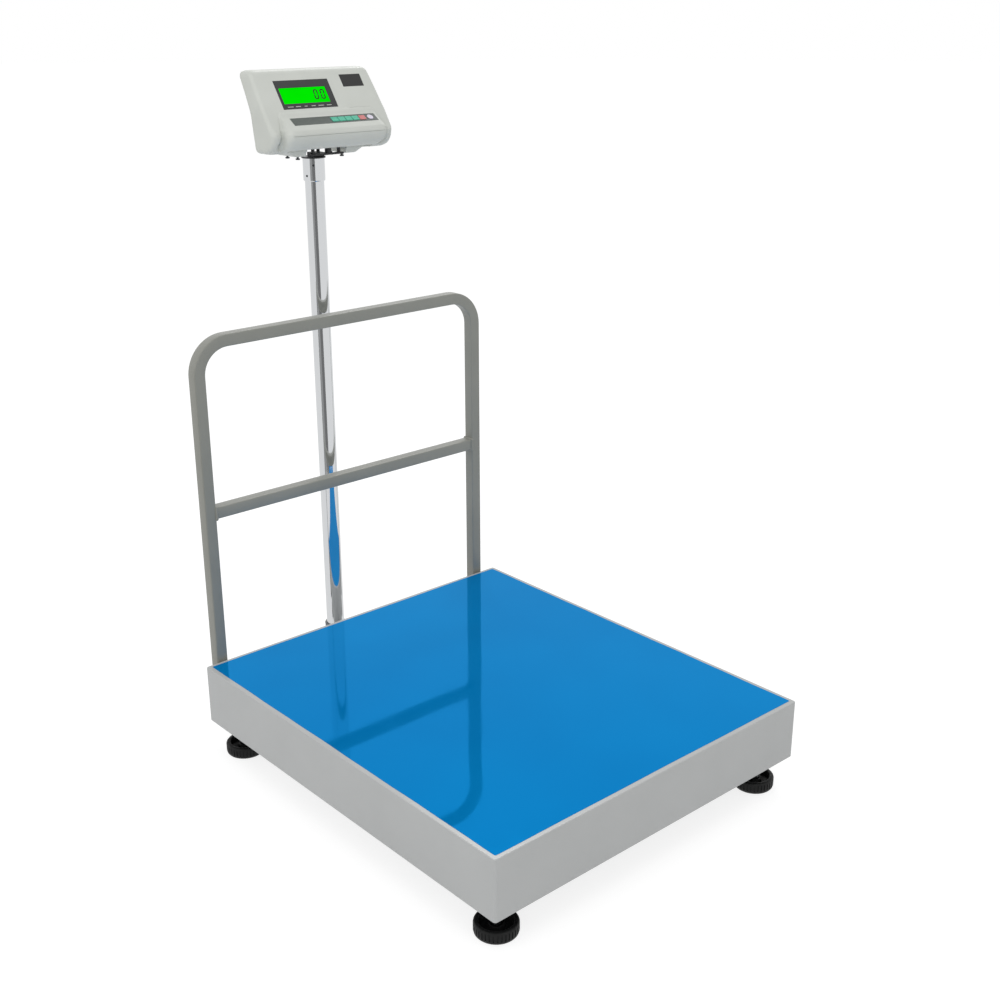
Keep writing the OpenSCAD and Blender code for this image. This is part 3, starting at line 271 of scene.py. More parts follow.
FINISH = {
    "frame_paint": powder_coat("grey_powder_coat", "585c60", "60656a", 0.42, 0.52),
    "rail_paint": powder_coat("rail_enamel", "868780", "8d8e87", 0.30, 0.36, 4 * MM, 0.002 * MM),
    "pan_steel": powder_coat("pan_enamel", "b3b5b5", "b7b9b9", 0.20, 0.26, 3 * MM, 0.003 * MM),
    "film": gloss_film("blue_pvc_film", "0080c7", "0086cd"),
    "column_chrome": chrome("chromed_steel", "e2e4e6"),
    "zinc_steel": plated_steel("zinc_plated_steel", "b9bab6", "cacac4"),
    "dark_screw": plated_steel("dark_steel", "3c3e40", "55575a"),
    "cell_aluminium": milled_metal("milled_aluminium", "c6c9cb", "d4d6d8", (0.04, 1, 1)),
    "tray_steel": milled_metal("brushed_steel_sheet", "9a9da0", "aaadaf", (0.05, 1, 1)),
    "housing": moulded_abs("grey_abs", "c9ccc6", "ced1cb"),
    "black_plastic": moulded_abs("black_abs", "202124", "28292c"),
    "white_plastic": moulded_abs("white_nylon", "dededa", "e8e8e4"),
    "bracket_black": powder_coat("black_powder_coat", "141517", "1b1c1f", 0.38, 0.50),
    "rubber": dull_black("black_rubber", "0b0c0c", "131414"),
    "cable": dull_black("black_pvc_sheath", "17181a", "222326"),
    "window_dark": printed_panel("printed_polycarbonate", "2b2d2d", "303232", 0.22),
    "label_dark": printed_panel("printed_label", "1b1b1b", "1f1f1f", 0.30),
    "overlay": screen_print("printed_polyester", "454c48", "4a524d"),
    "key_green": screen_print("green_key_print", "43b092", "4ab899"),
    "key_red": screen_print("red_key_print", "c46a6a", "cc7474"),
    "key_pale": screen_print("pale_key_print", "d2cbdc", "dad4e4"),
    "lcd_green": lit_display("green_backlit_lcd", "00ea00", "00f400"),
    "lcd_ink": dull_black("liquid_crystal", "031003", "051505"),
    "pale_print": screen_print("pale_screen_print", "b9b9b4", "c6c6c1"),
    "board": solder_mask("green_solder_mask"),
    "transformer": laminated_core("varnished_laminations"),
    "vial": clear_vial("spirit_vial"),
}
slot_of = {s["node"]: s["material_slot"] for s in frame["record"]["subparts"]}


def paint(obj, slot):
    obj.data.materials.clear()
    obj.data.materials.append(FINISH[slot])


# Helpers for modelling

# An edge that turns by more than this, in degrees, is a sharp one
SHARP = 35


def only(obj):
    """Selects this object alone and makes it active."""
    bpy.ops.object.select_all(action="DESELECT")
    obj.select_set(True)
    bpy.context.view_layer.objects.active = obj


def edit(obj):
    only(obj)
    bpy.ops.object.mode_set(mode="EDIT")


def leave():
    bpy.ops.object.mode_set(mode="OBJECT")


def pick(obj, kind, test):
    """In edit mode, selects what passes the test: faces by middle and normal, or edges by their two ends."""
    bpy.ops.mesh.select_mode(type=kind)
    bpy.ops.mesh.select_all(action="DESELECT")
    leave()
    mesh = obj.data
    if kind == "FACE":
        for face in mesh.polygons:
            face.select = bool(test(face.center, face.normal))
    if kind == "EDGE":
        for edge in mesh.edges:
            a, b = (mesh.vertices[v].co for v in edge.vertices)
            edge.select = bool(test(a, b))
    bpy.ops.object.mode_set(mode="EDIT")


def modify(obj, kind, **settings):
    """Adds a modifier and applies it."""
    only(obj)
    modifier = obj.modifiers.new("step", kind)
    for name, value in settings.items():
        setattr(modifier, name, value)
    bpy.ops.object.modifier_apply(modifier=modifier.name)


def carve(obj, tool):
    """Cuts obj with the tool, which is used up."""
    modify(obj, "BOOLEAN", object=tool, operation="DIFFERENCE", solver="EXACT")
    bpy.data.objects.remove(tool)


def settle(obj):
    """Moves the object's place into its mesh."""
    only(obj)
    bpy.ops.object.transform_apply(location=True, rotation=True, scale=True)


def block(name, low, high):
    """A cube primitive brought to the size of a box given by two corners."""
    low, high = Vector(low), Vector(high)
    bpy.ops.object.select_all(action="DESELECT")
    bpy.ops.mesh.primitive_cube_add(size=1, location=(low + high) / 2)
    obj = bpy.context.object
    obj.name = name
    obj.scale = high - low
    settle(obj)
    return obj


def ball(name, middle, radius):
    bpy.ops.object.select_all(action="DESELECT")
    bpy.ops.mesh.primitive_uv_sphere_add(segments=32, ring_count=16, radius=1, location=middle)
    obj = bpy.context.object
    obj.name = name
    obj.scale = (radius, radius, radius)
    settle(obj)
    return obj


def place(obj, matrix):
    """Puts a piece that was made in a local frame where it belongs."""
    obj.data.transform(matrix)
    obj.data.update()
    return obj


def another(obj, name, shift):
    """A copy with its own mesh, moved by the shift."""
    copy = obj.copy()
    copy.name = name
    copy.data = obj.data.copy()
    bpy.context.scene.collection.objects.link(copy)
    return place(copy, Matrix.Translation(shift))


def smooth(obj, sharp=SHARP):
    """Shades the curves smooth, up to the sharp edges."""
    only(obj)
    bpy.ops.object.shade_smooth_by_angle(angle=math.radians(sharp))


def ease(obj, width):
    """Rounds the sharp edges a little, as on any real part, and shades the curves smooth."""
    modify(obj, "BEVEL", width=width, segments=2, limit_method="ANGLE",
           angle_limit=math.radians(SHARP), use_clamp_overlap=True)
    smooth(obj)
    modify(obj, "WEIGHTED_NORMAL", keep_sharp=True)


def join(name, parts):
    bpy.ops.object.select_all(action="DESELECT")
    for part in parts:
        part.select_set(True)
    bpy.context.view_layer.objects.active = parts[0]
    bpy.ops.object.join()
    obj = bpy.context.object
    obj.name = name
    return obj


def hand_over(obj, slot, *stands_for, body=None, finish=None):
    """Gives the piece its finish and its body, and hides the nodes that it stands for."""
    paint(obj, finish or slot)
    if stands_for:
        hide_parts(*stands_for)
    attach(obj, body or body_of[stands_for[0]])
    return obj


def bare_copy(node):
    """A copy of a node with its triangles merged into whole faces."""
    obj = bpy.data.objects.new(node + "_skin", nodes[node].data.copy())
    bpy.context.scene.collection.objects.link(obj)
    edit(obj)
    bpy.ops.mesh.select_all(action="SELECT")
    bpy.ops.mesh.remove_doubles(threshold=0.002 * MM)
    bpy.ops.mesh.dissolve_limited(angle_limit=math.radians(0.5))
    leave()
    return obj


def dress(node, width):
    """A copy of a node with its edges eased and its curves shaded smooth."""
    obj = bare_copy(node)
    ease(obj, width)
    return hand_over(obj, slot_of[node], node)


# Places on the head: its lowest middle point, then planes with X along, Y up the slope and Z out
column_low, column_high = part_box("column")
COLUMN_Y = (column_low.y + column_high.y) / 2
HEAD_ASIDE = 5 * MM
HEAD_FOOT = 1054 * MM
HEAD = Vector((HEAD_ASIDE, COLUMN_Y, HEAD_FOOT))


def head_plane(forward, up, tilt):
    """A plane through a point of the head, given in mm, raised from level by tilt degrees."""
    through = HEAD + Vector((0, forward, up)) * MM
    return Matrix.Translation(through) @ Matrix.Rotation(math.radians(tilt), 4, "X")


FACE = head_plane(-4, 130, 55)
KEYS = head_plane(-47.8, 71.2, 33)
# The fold where the display's slope meets the keys' slope
FOLD = head_plane(-39.7, 80.6, 27)


# Head shells

# Along the lip's front the shells' seam is a groove. These are in mm from the head's lowest middle point.
LIP_HALF_WIDTH = 98
GROOVE_MIDDLE = 41.5
GROOVE_WIDTH = 1
GROOVE_BOTTOM = -80.7
GROOVE_OPEN = -84

# The valley beside the lip is pressed deeper round two points: [middle, reach, push], for the right side
DENTS = [[Vector((107.5, -61, 22)), Vector((8.5, 12, 8.5)), Vector((-1, 10, 1.5))],
         [Vector((108.5, -66, 42)), Vector((4.5, 14, 19)), Vector((-1.5, 6.5, 0))]]

# The ledge along the fold's right part and the dimple at its inner end, in mm on the fold's plane
LEDGE_LOW = Vector((50, -0.8, -0.4))
LEDGE_HIGH = Vector((112, 0.8, 1))
DIMPLE_MIDDLE = Vector((46, 0, 6.4))
DIMPLE_RADIUS = 7


def deepen_valleys(shell):
    """Pushes each valley in so that it carries its shadow."""
    for vertex in shell.data.vertices:
        at = (vertex.co - HEAD) / MM
        mirror = Vector((math.copysign(1, at.x), 1, 1))
        for middle, reach, push in DENTS:
            away = at - middle * mirror
            near = math.exp(-sum((away[i] / reach[i]) ** 2 for i in range(3)))
            vertex.co += push * mirror * near * MM


def carved_shell(node):
    """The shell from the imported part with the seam's groove and the mould's small features cut into it."""
    shell = bare_copy(node)
    groove_low = Vector((-LIP_HALF_WIDTH, GROOVE_OPEN, GROOVE_MIDDLE - GROOVE_WIDTH / 2))
    groove_high = Vector((LIP_HALF_WIDTH, GROOVE_BOTTOM, GROOVE_MIDDLE + GROOVE_WIDTH / 2))
    carve(shell, block("groove", HEAD + groove_low * MM, HEAD + groove_high * MM))
    deepen_valleys(shell)
    if node == "front_housing":
        ledge = block("ledge", LEDGE_LOW * MM, LEDGE_HIGH * MM)
        carve(shell, place(ledge, FOLD))
        dimple = ball("dimple", DIMPLE_MIDDLE * MM, DIMPLE_RADIUS * MM)
        carve(shell, place(dimple, FOLD))
    ease(shell, 0.4 * MM)
    return hand_over(shell, slot_of[node], node)


# Pan and film

SHEET = 2 * MM
PAN_CORNER = 5 * MM
PAN_FOLD = 1.8 * MM
CHANNEL_ASIDE = 130 * MM
CHANNEL_WIDTH = 30 * MM
CHANNEL_DEPTH = 8 * MM
CHANNEL_INSET = 60 * MM


def make_pan():
    """A sheet folded down on four sides, its corners closed and ground round, and two channels under it."""
    low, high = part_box("pan")
    skirt = high.z - low.z
    pan = block("pan_tray", low, high)
    edit(pan)
    pick(pan, "FACE", lambda middle, normal: normal.z < -0.5)
    bpy.ops.mesh.delete(type="FACE")
    pick(pan, "EDGE", lambda a, b: abs(a.z - b.z) > skirt / 2)
    bpy.ops.mesh.bevel(offset=PAN_CORNER, segments=6, affect="EDGES")
    pick(pan, "EDGE", lambda a, b: min(a.z, b.z) > high.z - 0.1 * MM)
    bpy.ops.mesh.bevel(offset=PAN_FOLD, segments=4, affect="EDGES")
    leave()
    modify(pan, "SOLIDIFY", thickness=SHEET, offset=-1, use_even_offset=True)
    ease(pan, 0.3 * MM)
    channel = pan_channel(-CHANNEL_ASIDE, low, high)
    right_channel = another(channel, "channel", (2 * CHANNEL_ASIDE, 0, 0))
    return hand_over(join("pan_tray", [pan, channel, right_channel]), "pan_steel", "pan")


def pan_channel(middle, low, high):
    """A folded channel welded under the pan, from near its front to near its back."""
    top = high.z - SHEET
    channel = block("channel", (middle - CHANNEL_WIDTH / 2, low.y + CHANNEL_INSET, top - CHANNEL_DEPTH),
                    (middle + CHANNEL_WIDTH / 2, high.y - CHANNEL_INSET, top))
    edit(channel)
    pick(channel, "FACE", lambda centre, normal: normal.z > 0.5 or abs(normal.y) > 0.5)
    bpy.ops.mesh.delete(type="FACE")
    leave()
    modify(channel, "SOLIDIFY", thickness=SHEET, offset=-1)
    ease(channel, 0.8 * MM)
    return channel


# The film stops short of the node's box by a trim, at the front and left or at the back and right,
# and by up to the wander more from place to place.
FILM_NEAR_TRIM = 3 * MM
FILM_FAR_TRIM = 1.5 * MM
FILM_WANDER = 1 * MM
FILM_CORNER = 3 * MM


def make_film():
    """The film was cut by hand, so its edges wander."""
    low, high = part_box("protective_film")
    middle = (low + high) / 2
    film = block("pan_film", low, high)
    edit(film)
    pick(film, "EDGE", lambda a, b: abs(a.z - b.z) > 0.1 * MM)
    bpy.ops.mesh.bevel(offset=FILM_CORNER, segments=3, affect="EDGES")
    pick(film, "EDGE", lambda a, b: abs(a.z - b.z) < 0.1 * MM and (a - b).length > 100 * MM)
    bpy.ops.mesh.subdivide(number_cuts=40)
    leave()
    for vertex in film.data.vertices:
        along = vertex.co.x + 2 * vertex.co.y
        wander = FILM_WANDER / 2 * (1 + math.sin(along * 19) * math.cos(along * 7.3))
        for axis in (0, 1):
            side = (vertex.co[axis] - middle[axis]) / (high[axis] - middle[axis])
            trim = FILM_NEAR_TRIM if side < 0 else FILM_FAR_TRIM
            vertex.co[axis] -= side * (wander + trim)
    smooth(film)
    return hand_over(film, "film", "protective_film")


# Guard rail

TUBE_WALL = 1.5 * MM
TUBE_CORNER = 2.2 * MM
# The radius of a bend along the middle of the tube
RAIL_BEND = 58 * MM
BEND_STEPS = 18
PLUG_LENGTH = 20 * MM
PLUG_SUNK = 0.5 * MM
PLUG_HOLE_RADIUS = 4.05 * MM


def tube_end(name, size, middle):
    """The end of a square tube, as a ring of faces that lies flat, ready to be drawn out."""
    bpy.ops.object.select_all(action="DESELECT")
    bpy.ops.mesh.primitive_plane_add(size=size, location=middle)
    tube = bpy.context.object
    tube.name = name
    settle(tube)
    edit(tube)
    bpy.ops.mesh.select_all(action="SELECT")
    bpy.ops.mesh.bevel(offset=TUBE_CORNER, segments=4, affect="VERTICES")
    bpy.ops.mesh.select_all(action="SELECT")
    bpy.ops.mesh.inset(thickness=TUBE_WALL)
    bpy.ops.mesh.delete(type="FACE")
    bpy.ops.mesh.select_all(action="SELECT")
    return tube


def draw_out(x, y, z):
    bpy.ops.mesh.extrude_region_move(TRANSFORM_OT_translate={"value": (x, y, z)})


def make_rail():
    """One square tube, bent twice on a mandrel, with a threaded plug welded into each foot."""
    low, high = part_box("rail_hoop")
    size = high.y - low.y
    y = (low.y + high.y) / 2
    bend_z = high.z - size / 2 - RAIL_BEND
    bend_x = low.x + size / 2 + RAIL_BEND
    rail = tube_end("rail_tube", size, (low.x + size / 2, y, low.z))
    draw_out(0, 0, bend_z - low.z)
    quarter = -math.pi / 2
    bpy.ops.mesh.spin(steps=BEND_STEPS, angle=quarter, center=(bend_x, y, bend_z), axis=(0, 1, 0))
    draw_out(-2 * bend_x, 0, 0)
    bpy.ops.mesh.spin(steps=BEND_STEPS, angle=quarter, center=(-bend_x, y, bend_z), axis=(0, 1, 0))
    draw_out(0, 0, low.z - bend_z)
    bpy.ops.mesh.select_all(action="SELECT")
    bpy.ops.mesh.remove_doubles(threshold=0.01 * MM)
    bpy.ops.mesh.normals_make_consistent(inside=False)
    leave()
    smooth(rail)
    plug = rail_plug(low.x + size / 2, y, low.z, size / 2 - TUBE_WALL)
    right_plug = another(plug, "plug", (high.x - low.x - size, 0, 0))
    return hand_over(join("rail_tube", [rail, plug, right_plug]), "rail_paint", "rail_hoop")


def rail_plug(x, y, z, inner):
    """A square plug in the tube's end, with the rail bolt's hole up its middle."""
    plug = block("plug", (x - inner, y - inner, z + PLUG_SUNK), (x + inner, y + inner, z + PLUG_LENGTH))
    ease(plug, 1 * MM)
    bpy.ops.object.select_all(action="DESELECT")
    bpy.ops.mesh.primitive_cylinder_add(vertices=32, radius=PLUG_HOLE_RADIUS, depth=3 * PLUG_LENGTH,
                                        location=(x, y, z))
    hole = bpy.context.object
    settle(hole)
    carve(plug, hole)
    return plug


def make_crossbar():
    low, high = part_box("rail_crossbar")
    bar = block("cross_bar", low, high)
    edit(bar)
    pick(bar, "EDGE", lambda a, b: abs(a.x - b.x) > 100 * MM)
    bpy.ops.mesh.bevel(offset=TUBE_CORNER, segments=4, affect="EDGES")
    leave()
    smooth(bar)
    return hand_over(bar, "rail_paint", "rail_crossbar")


BEAD_RADIUS = 3 * MM
BEAD_GRAIN = 0.45 * MM
# Ripples of a bead on each side of a face's middle
RIPPLES = 4


def make_rail_welds():
    """A rippled bead runs round each end of the cross bar."""
    low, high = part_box("rail_crossbar")
    middle = (low + high) / 2
    # The bead's middle runs a little inside the bar's faces and ends.
    pitch = (high.z - low.z) / 2 / (RIPPLES + 0.1)
    sunk = 0.4 * MM
    bpy.ops.object.select_all(action="DESELECT")
    bpy.ops.mesh.primitive_ico_sphere_add(subdivisions=2, radius=BEAD_RADIUS, location=(0, 0, 0))
    ripple = bpy.context.object
    ripples = []
    for end in (low.x + sunk, high.x - sunk):
        for step in range(-RIPPLES, RIPPLES + 1):
            for y, z in ((step, RIPPLES), (step, -RIPPLES), (RIPPLES, step), (-RIPPLES, step)):
                there = (end, middle.y + y * pitch, middle.z + z * pitch)
                ripples.append(another(ripple, "ripple", there))
    bpy.data.objects.remove(ripple)
    welds = join("cross_bar_welds", ripples)
    modify(welds, "REMESH", mode="VOXEL", voxel_size=BEAD_GRAIN)
    smooth(welds, 80)
    return hand_over(welds, "rail_paint", body=body_of["rail_hoop"])


# Turned pieces

def turn(name, outline, axis_at, steps):
    """Spins a closed outline of [radius, height], in mm, once round an upright axis."""
    bpy.ops.object.select_all(action="DESELECT")
    bpy.ops.mesh.primitive_circle_add(vertices=len(outline), radius=1 * MM, location=(0, 0, 0))
    obj = bpy.context.object
    obj.name = name
    for vertex, (radius, height) in zip(obj.data.vertices, outline):
        vertex.co = (radius * MM, 0, height * MM)
    edit(obj)
    bpy.ops.mesh.select_all(action="SELECT")
    bpy.ops.mesh.spin(steps=steps, angle=2 * math.pi, center=(0, 0, 0), axis=(0, 0, 1))
    bpy.ops.mesh.select_all(action="SELECT")
    bpy.ops.mesh.remove_doubles(threshold=0.005 * MM)
    bpy.ops.mesh.normals_make_consistent(inside=False)
    leave()
    return place(obj, Matrix.Translation(axis_at))


COLUMN_WALL = 1.5
COLUMN_EDGE = 0.4


def make_column():
    """A plain tube with its ends' outer edges broken."""
    low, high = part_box("column")
    outer = (high.x - low.x) / 2 / MM
    inner = outer - COLUMN_WALL
    length = (high.z - low.z) / MM
    edge = COLUMN_EDGE
    outline = [[inner, 0], [outer - edge, 0], [outer, edge],
               [outer, length - edge], [outer - edge, length], [inner, length]]
    column = turn("column_tube", outline, (0, COLUMN_Y, low.z), 96)
    smooth(column)
    return hand_over(column, "column_chrome", "column")


FOOT_RADIUS = 35.5
FOOT_RIM = 22
# The rim has three columns of faces to each groove of its grip
GRIP_COLUMNS = 108
GRIP_DEPTH = 1.1 * MM


def foot_pad_outline():
    """Half the pad's section as [radius, height], from the middle of its underside round to its socket."""
    r = FOOT_RADIUS
    h = FOOT_RIM
    underside = [[0.4, 0], [r - 4.5, 0], [r - 2.4, 0.8], [r - 0.9, 2.6], [r, 6]]
    side = [[r, 10], [r, h - 4]]
    rim = [[r - 0.5, h - 2], [r - 1.8, h - 0.5], [r - 3.4, h],
           [r - 6, h], [r - 7.4, h - 0.6], [r - 8.2, h - 2]]
    dish = [[r - 9, 12], [r - 10, 10.2], [17, 9.2], [14.6, 9.6], [13.6, 11]]
    boss = [[13, 15], [12.6, 16.1], [11.8, 16.5], [10.3, 16.5]]
    socket = [[10.3, 11.5], [6.1, 11.5], [6.1, 5], [0.4, 5]]
    return underside + side + rim + dish + boss + socket


def is_grip_groove(centre, normal):
    column = round(math.atan2(centre.y, centre.x) / (2 * math.pi) * GRIP_COLUMNS - 0.5)
    on_side = centre.xy.length > (FOOT_RADIUS - 1) * MM and 7 * MM < centre.z < 15 * MM
    return on_side and column % 3 == 0


def foot_pad():
    """A rubber pad with a dished top and a milled grip round its rim, standing at the origin."""
    pad = turn("foot_pad", foot_pad_outline(), (0, 0, 0), GRIP_COLUMNS)
    edit(pad)
    pick(pad, "FACE", is_grip_groove)
    bpy.ops.mesh.inset(thickness=0.25 * MM, depth=-GRIP_DEPTH)
    leave()
    smooth(pad, 40)
    return pad


# The stud, in mm from its foot: a plain shank, then a thread up to a tapered point
THREAD_PITCH = 1.75
THREAD_CREST = 6.0
THREAD_ROOT = 5.1
SHANK_END = 13
THREAD_START = 14
POINT_LENGTH = 1.5
POINT_TAPER = 1.2
STUD_CORE = 0.3
HEXAGON_RADIUS = 10.2
HEXAGON_HEIGHT = 8
HEXAGON_MIDDLE = 10.6


def foot_stud(height):
    """A hexagon moulded into the pad under a threaded rod, standing at the origin."""
    top = height / MM
    thread_end = top - POINT_LENGTH
    thread = []
    for tooth in range(int((thread_end - THREAD_START - 1) / THREAD_PITCH)):
        z = THREAD_START + tooth * THREAD_PITCH
        thread += [[THREAD_ROOT, z], [THREAD_CREST, z + THREAD_PITCH / 2]]
    shank = [[STUD_CORE, 0], [THREAD_CREST, 0], [THREAD_CREST, SHANK_END]]
    point = [[THREAD_ROOT, thread_end], [THREAD_ROOT - POINT_TAPER, top], [STUD_CORE, top]]
    rod = turn("foot_rod", shank + thread + point, (0, 0, 0), 32)
    smooth(rod, 20)
    bpy.ops.object.select_all(action="DESELECT")
    bpy.ops.mesh.primitive_cylinder_add(vertices=6, radius=HEXAGON_RADIUS * MM, depth=HEXAGON_HEIGHT * MM,
                                        location=(0, 0, HEXAGON_MIDDLE * MM))
    hexagon = bpy.context.object
    settle(hexagon)
    ease(hexagon, 0.8 * MM)
    return join("foot_rod", [rod, hexagon])


def stand_copy(model, suffix, slot, node):
    """A copy of the model stands where the node does."""
    low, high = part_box(node)
    middle = (low + high) / 2
    copy = another(model, node + suffix, (middle.x, middle.y, low.z))
    return hand_over(copy, slot, node)


def make_feet():
    """One pad and one stud are modelled, and each foot has its own copy of both."""
    low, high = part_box("foot_stud_front_left")
    pad = foot_pad()
    stud = foot_stud(high.z - low.z)
    for corner in ("front_left", "front_right", "rear_left", "rear_right"):
        stand_copy(pad, "_rubber", "rubber", "foot_pad_" + corner)
        # The studs take the dark steel finish here instead of the zinc of their slot, so they show dark
        # inside the pads.
        stand_copy(stud, "_rod", "dark_screw", "foot_stud_" + corner)
    bpy.data.objects.remove(pad)
    bpy.data.objects.remove(stud)


# Display and keys

# Figures, in mm on the display's plane: the width and half the height between the middles of a
# figure's bars, the bars' own size, and where the figures stand
FIGURE_WIDTH = 6.8
FIGURE_HALF = 8.7
SEGMENT_WIDTH = 2.3
SEGMENT_GAP = 0.05
SEGMENT_THICK = 0.06
SLANT = math.radians(5)
FIGURE_LEFTS = (-10.4, 3.6)
FIGURE_MIDDLE = -29.9
FIGURE_Z = -0.33
POINT_SIDES = (-0.7, 1.0)
POINT_HALF_HEIGHT = 0.8


def flat_print(name, across, up, rise):
    """A printed patch on a plane of the head. Each pair is its low and high end along X, Y or Z, in mm."""
    low, high = (Vector(corner) * MM for corner in zip(across, up, rise))
    return block(name, low, high)


def segment(name, x, y, upright):
    """One bar of a seven-segment figure, with pointed ends, on the display's plane."""
    long = (FIGURE_HALF if upright else FIGURE_WIDTH) / 2 - SEGMENT_GAP
    wide = SEGMENT_WIDTH / 2
    bpy.ops.object.select_all(action="DESELECT")
    bpy.ops.mesh.primitive_circle_add(vertices=6, radius=1, fill_type="NGON", location=(0, 0, 0))
    bar = bpy.context.object
    bar.name = name
    shape = [(long, 0), (long - wide, wide), (wide - long, wide),
             (-long, 0), (wide - long, -wide), (long - wide, -wide)]
    for vertex, (u, v) in zip(bar.data.vertices, shape):
        vertex.co = (u * MM, v * MM, 0)
    edit(bar)
    bpy.ops.mesh.select_all(action="SELECT")
    draw_out(0, 0, SEGMENT_THICK * MM)
    bpy.ops.mesh.select_all(action="SELECT")
    bpy.ops.mesh.normals_make_consistent(inside=False)
    leave()
    if upright:
        place(bar, Matrix.Rotation(math.pi / 2 - SLANT, 4, "Z"))
    return place(bar, Matrix.Translation(Vector((x + y * math.tan(SLANT), y, 0)) * MM))


def round_corners(print_work, radius):
    """Rounds the upright edges of flat printed shapes that still lie level."""
    edit(print_work)
    pick(print_work, "EDGE", lambda a, b: abs(a.z - b.z) > 0.01 * MM)
    bpy.ops.mesh.bevel(offset=radius, segments=3, affect="EDGES")
    leave()


def make_figures():
    """A zero, a point and a zero, dark on the lit display."""
    wide = FIGURE_WIDTH
    tall = FIGURE_HALF
    segments = [segment("segment", *spot) for spot in (
        (wide / 2, tall, False), (wide / 2, -tall, False), (0, tall / 2, True),
        (wide, tall / 2, True), (0, -tall / 2, True), (wide, -tall / 2, True))]
    zero = join("zero", segments)
    figures = [another(zero, "figure", Vector((left, FIGURE_MIDDLE, FIGURE_Z)) * MM) for left in FIGURE_LEFTS]
    bpy.data.objects.remove(zero)
    point_y = FIGURE_MIDDLE - tall
    point = flat_print("point", POINT_SIDES, (point_y - POINT_HALF_HEIGHT, point_y + POINT_HALF_HEIGHT),
                       (FIGURE_Z, FIGURE_Z + SEGMENT_THICK))
    round_corners(point, 0.4 * MM)
    figures = place(join("display_figures", figures + [point]), FACE)
    return hand_over(figures, "lcd_green", body="head", finish="lcd_ink")


# Under the display stand six short printed bars: [x, length]
BARS = [[-70, 12], [-54.2, 10.5], [-38, 6], [-22, 8.5], [-6, 12], [11, 10.5]]
BAR_UP = (-52.9, -51.6)
BAR_RISE = (0.02, 0.06)


def make_bars():
    bars = [flat_print("bar", (x - length / 2, x + length / 2), BAR_UP, BAR_RISE) for x, length in BARS]
    bars = join("window_bars", bars)
    round_corners(bars, 0.5 * MM)
    place(bars, FACE)
    return hand_over(bars, "window_dark", body="head", finish="pale_print")


# The green keys share one printed field: three strips between them, and one along the bottom and the
# top of all four. In mm on the keys' plane.
KEY_PITCH = 15
FIRST_GAP = (11.15, 11.85)
GAP_UP = (-19, -8)
FIELD_ACROSS = (-3.4, 56.4)
FIELD_EDGES = ((-19.9, -19.45), (-7.55, -7.1))
FIELD_RISE = (0.2, 0.25)


def make_key_field():
    strips = []
    for gap in range(3):
        across = [x + gap * KEY_PITCH for x in FIRST_GAP]
        strips.append(flat_print("strip", across, GAP_UP, FIELD_RISE))
    for up in FIELD_EDGES:
        strips.append(flat_print("strip", FIELD_ACROSS, up, FIELD_RISE))
    field = join("green_key_field", strips)
    round_corners(field, 0.2 * MM)
    place(field, KEYS)
    return hand_over(field, "key_green", body="head")


for shell_name in ("rear_housing", "front_housing"):
    carved_shell(shell_name)
make_pan()
make_film()
make_rail()
make_crossbar()
make_rail_welds()
make_column()
make_feet()
make_figures()
make_bars()
make_key_field()


# The rest of the object: every node that no piece above stands for
EASED = {
    0.8 * MM: ["base_frame", "top_frame", "column_bracket", "load_cell", "lower_spacer", "upper_spacer"],
    0.4 * MM: ["foot_bushes", "foot_lock_nuts", "lower_cell_bolts", "upper_cell_bolts", "overload_stops",
               "rail_bolts", "bracket_bolts", "column_set_bolts", "pan_buffers", "head_bracket",
               "head_standoffs", "battery", "transformer", "level_housing", "battery_tray",
               "cable_gland", "level_vial"],
    0.2 * MM: ["power_inlet", "circuit_board", "board_screws", "housing_screws", "leg_screws",
               "sleeve_screws", "lcd_backlight", "key_membrane", "cable_clips", "display_window",
               "lcd_panel", "blank_label", "key_overlay", "key_green_1", "key_green_2", "key_green_3",
               "key_green_4", "key_red", "key_pale", "column_sleeve", "cell_cable", "head_cable"],
}
for width, names in EASED.items():
    for name in names:
        dress(name, width)


# Stage

WHITE = (1, 1, 1, 1)
FLOOR_RADIUS = 30


def empty_material(name):
    material = bpy.data.materials.new(name)
    material.use_nodes = True
    material.node_tree.nodes.clear()
    return material, material.node_tree


def white_floor_paint():
    # White painted floor: the camera sees it as white, darkened a little where the object shades it.
    material, tree = empty_material("white_sweep")
    painted = add(tree, "BsdfDiffuse", {"Color": linear("f4f4f4")})
    shade = add(tree, "BsdfDiffuse", {"Color": (0.34, 0.34, 0.34, 1)})
    glow = add(tree, "Emission", {"Color": WHITE, "Strength": 0.80})
    both = add(tree, "AddShader", {0: shade.outputs[0], 1: glow.outputs[0]})
    path = add(tree, "LightPath")
    bright = add(tree, "Emission", {"Color": WHITE, "Strength": 0.84})
    mirrored = add(tree, "MixShader", {0: path.outputs["Is Glossy Ray"],
                                       1: painted.outputs[0], 2: bright.outputs[0]})
    seen = add(tree, "MixShader", {0: path.outputs["Is Camera Ray"],
                                   1: mirrored.outputs[0], 2: both.outputs[0]})
    add(tree, "OutputMaterial", {"Surface": seen.outputs[0]})
    return material


def build_floor():
    bpy.ops.object.select_all(action="DESELECT")
    bpy.ops.mesh.primitive_circle_add(vertices=96, radius=FLOOR_RADIUS, fill_type="NGON", location=(0, 0, 0))
    floor = bpy.context.object
    floor.name = "floor"
    floor.data.materials.append(white_floor_paint())


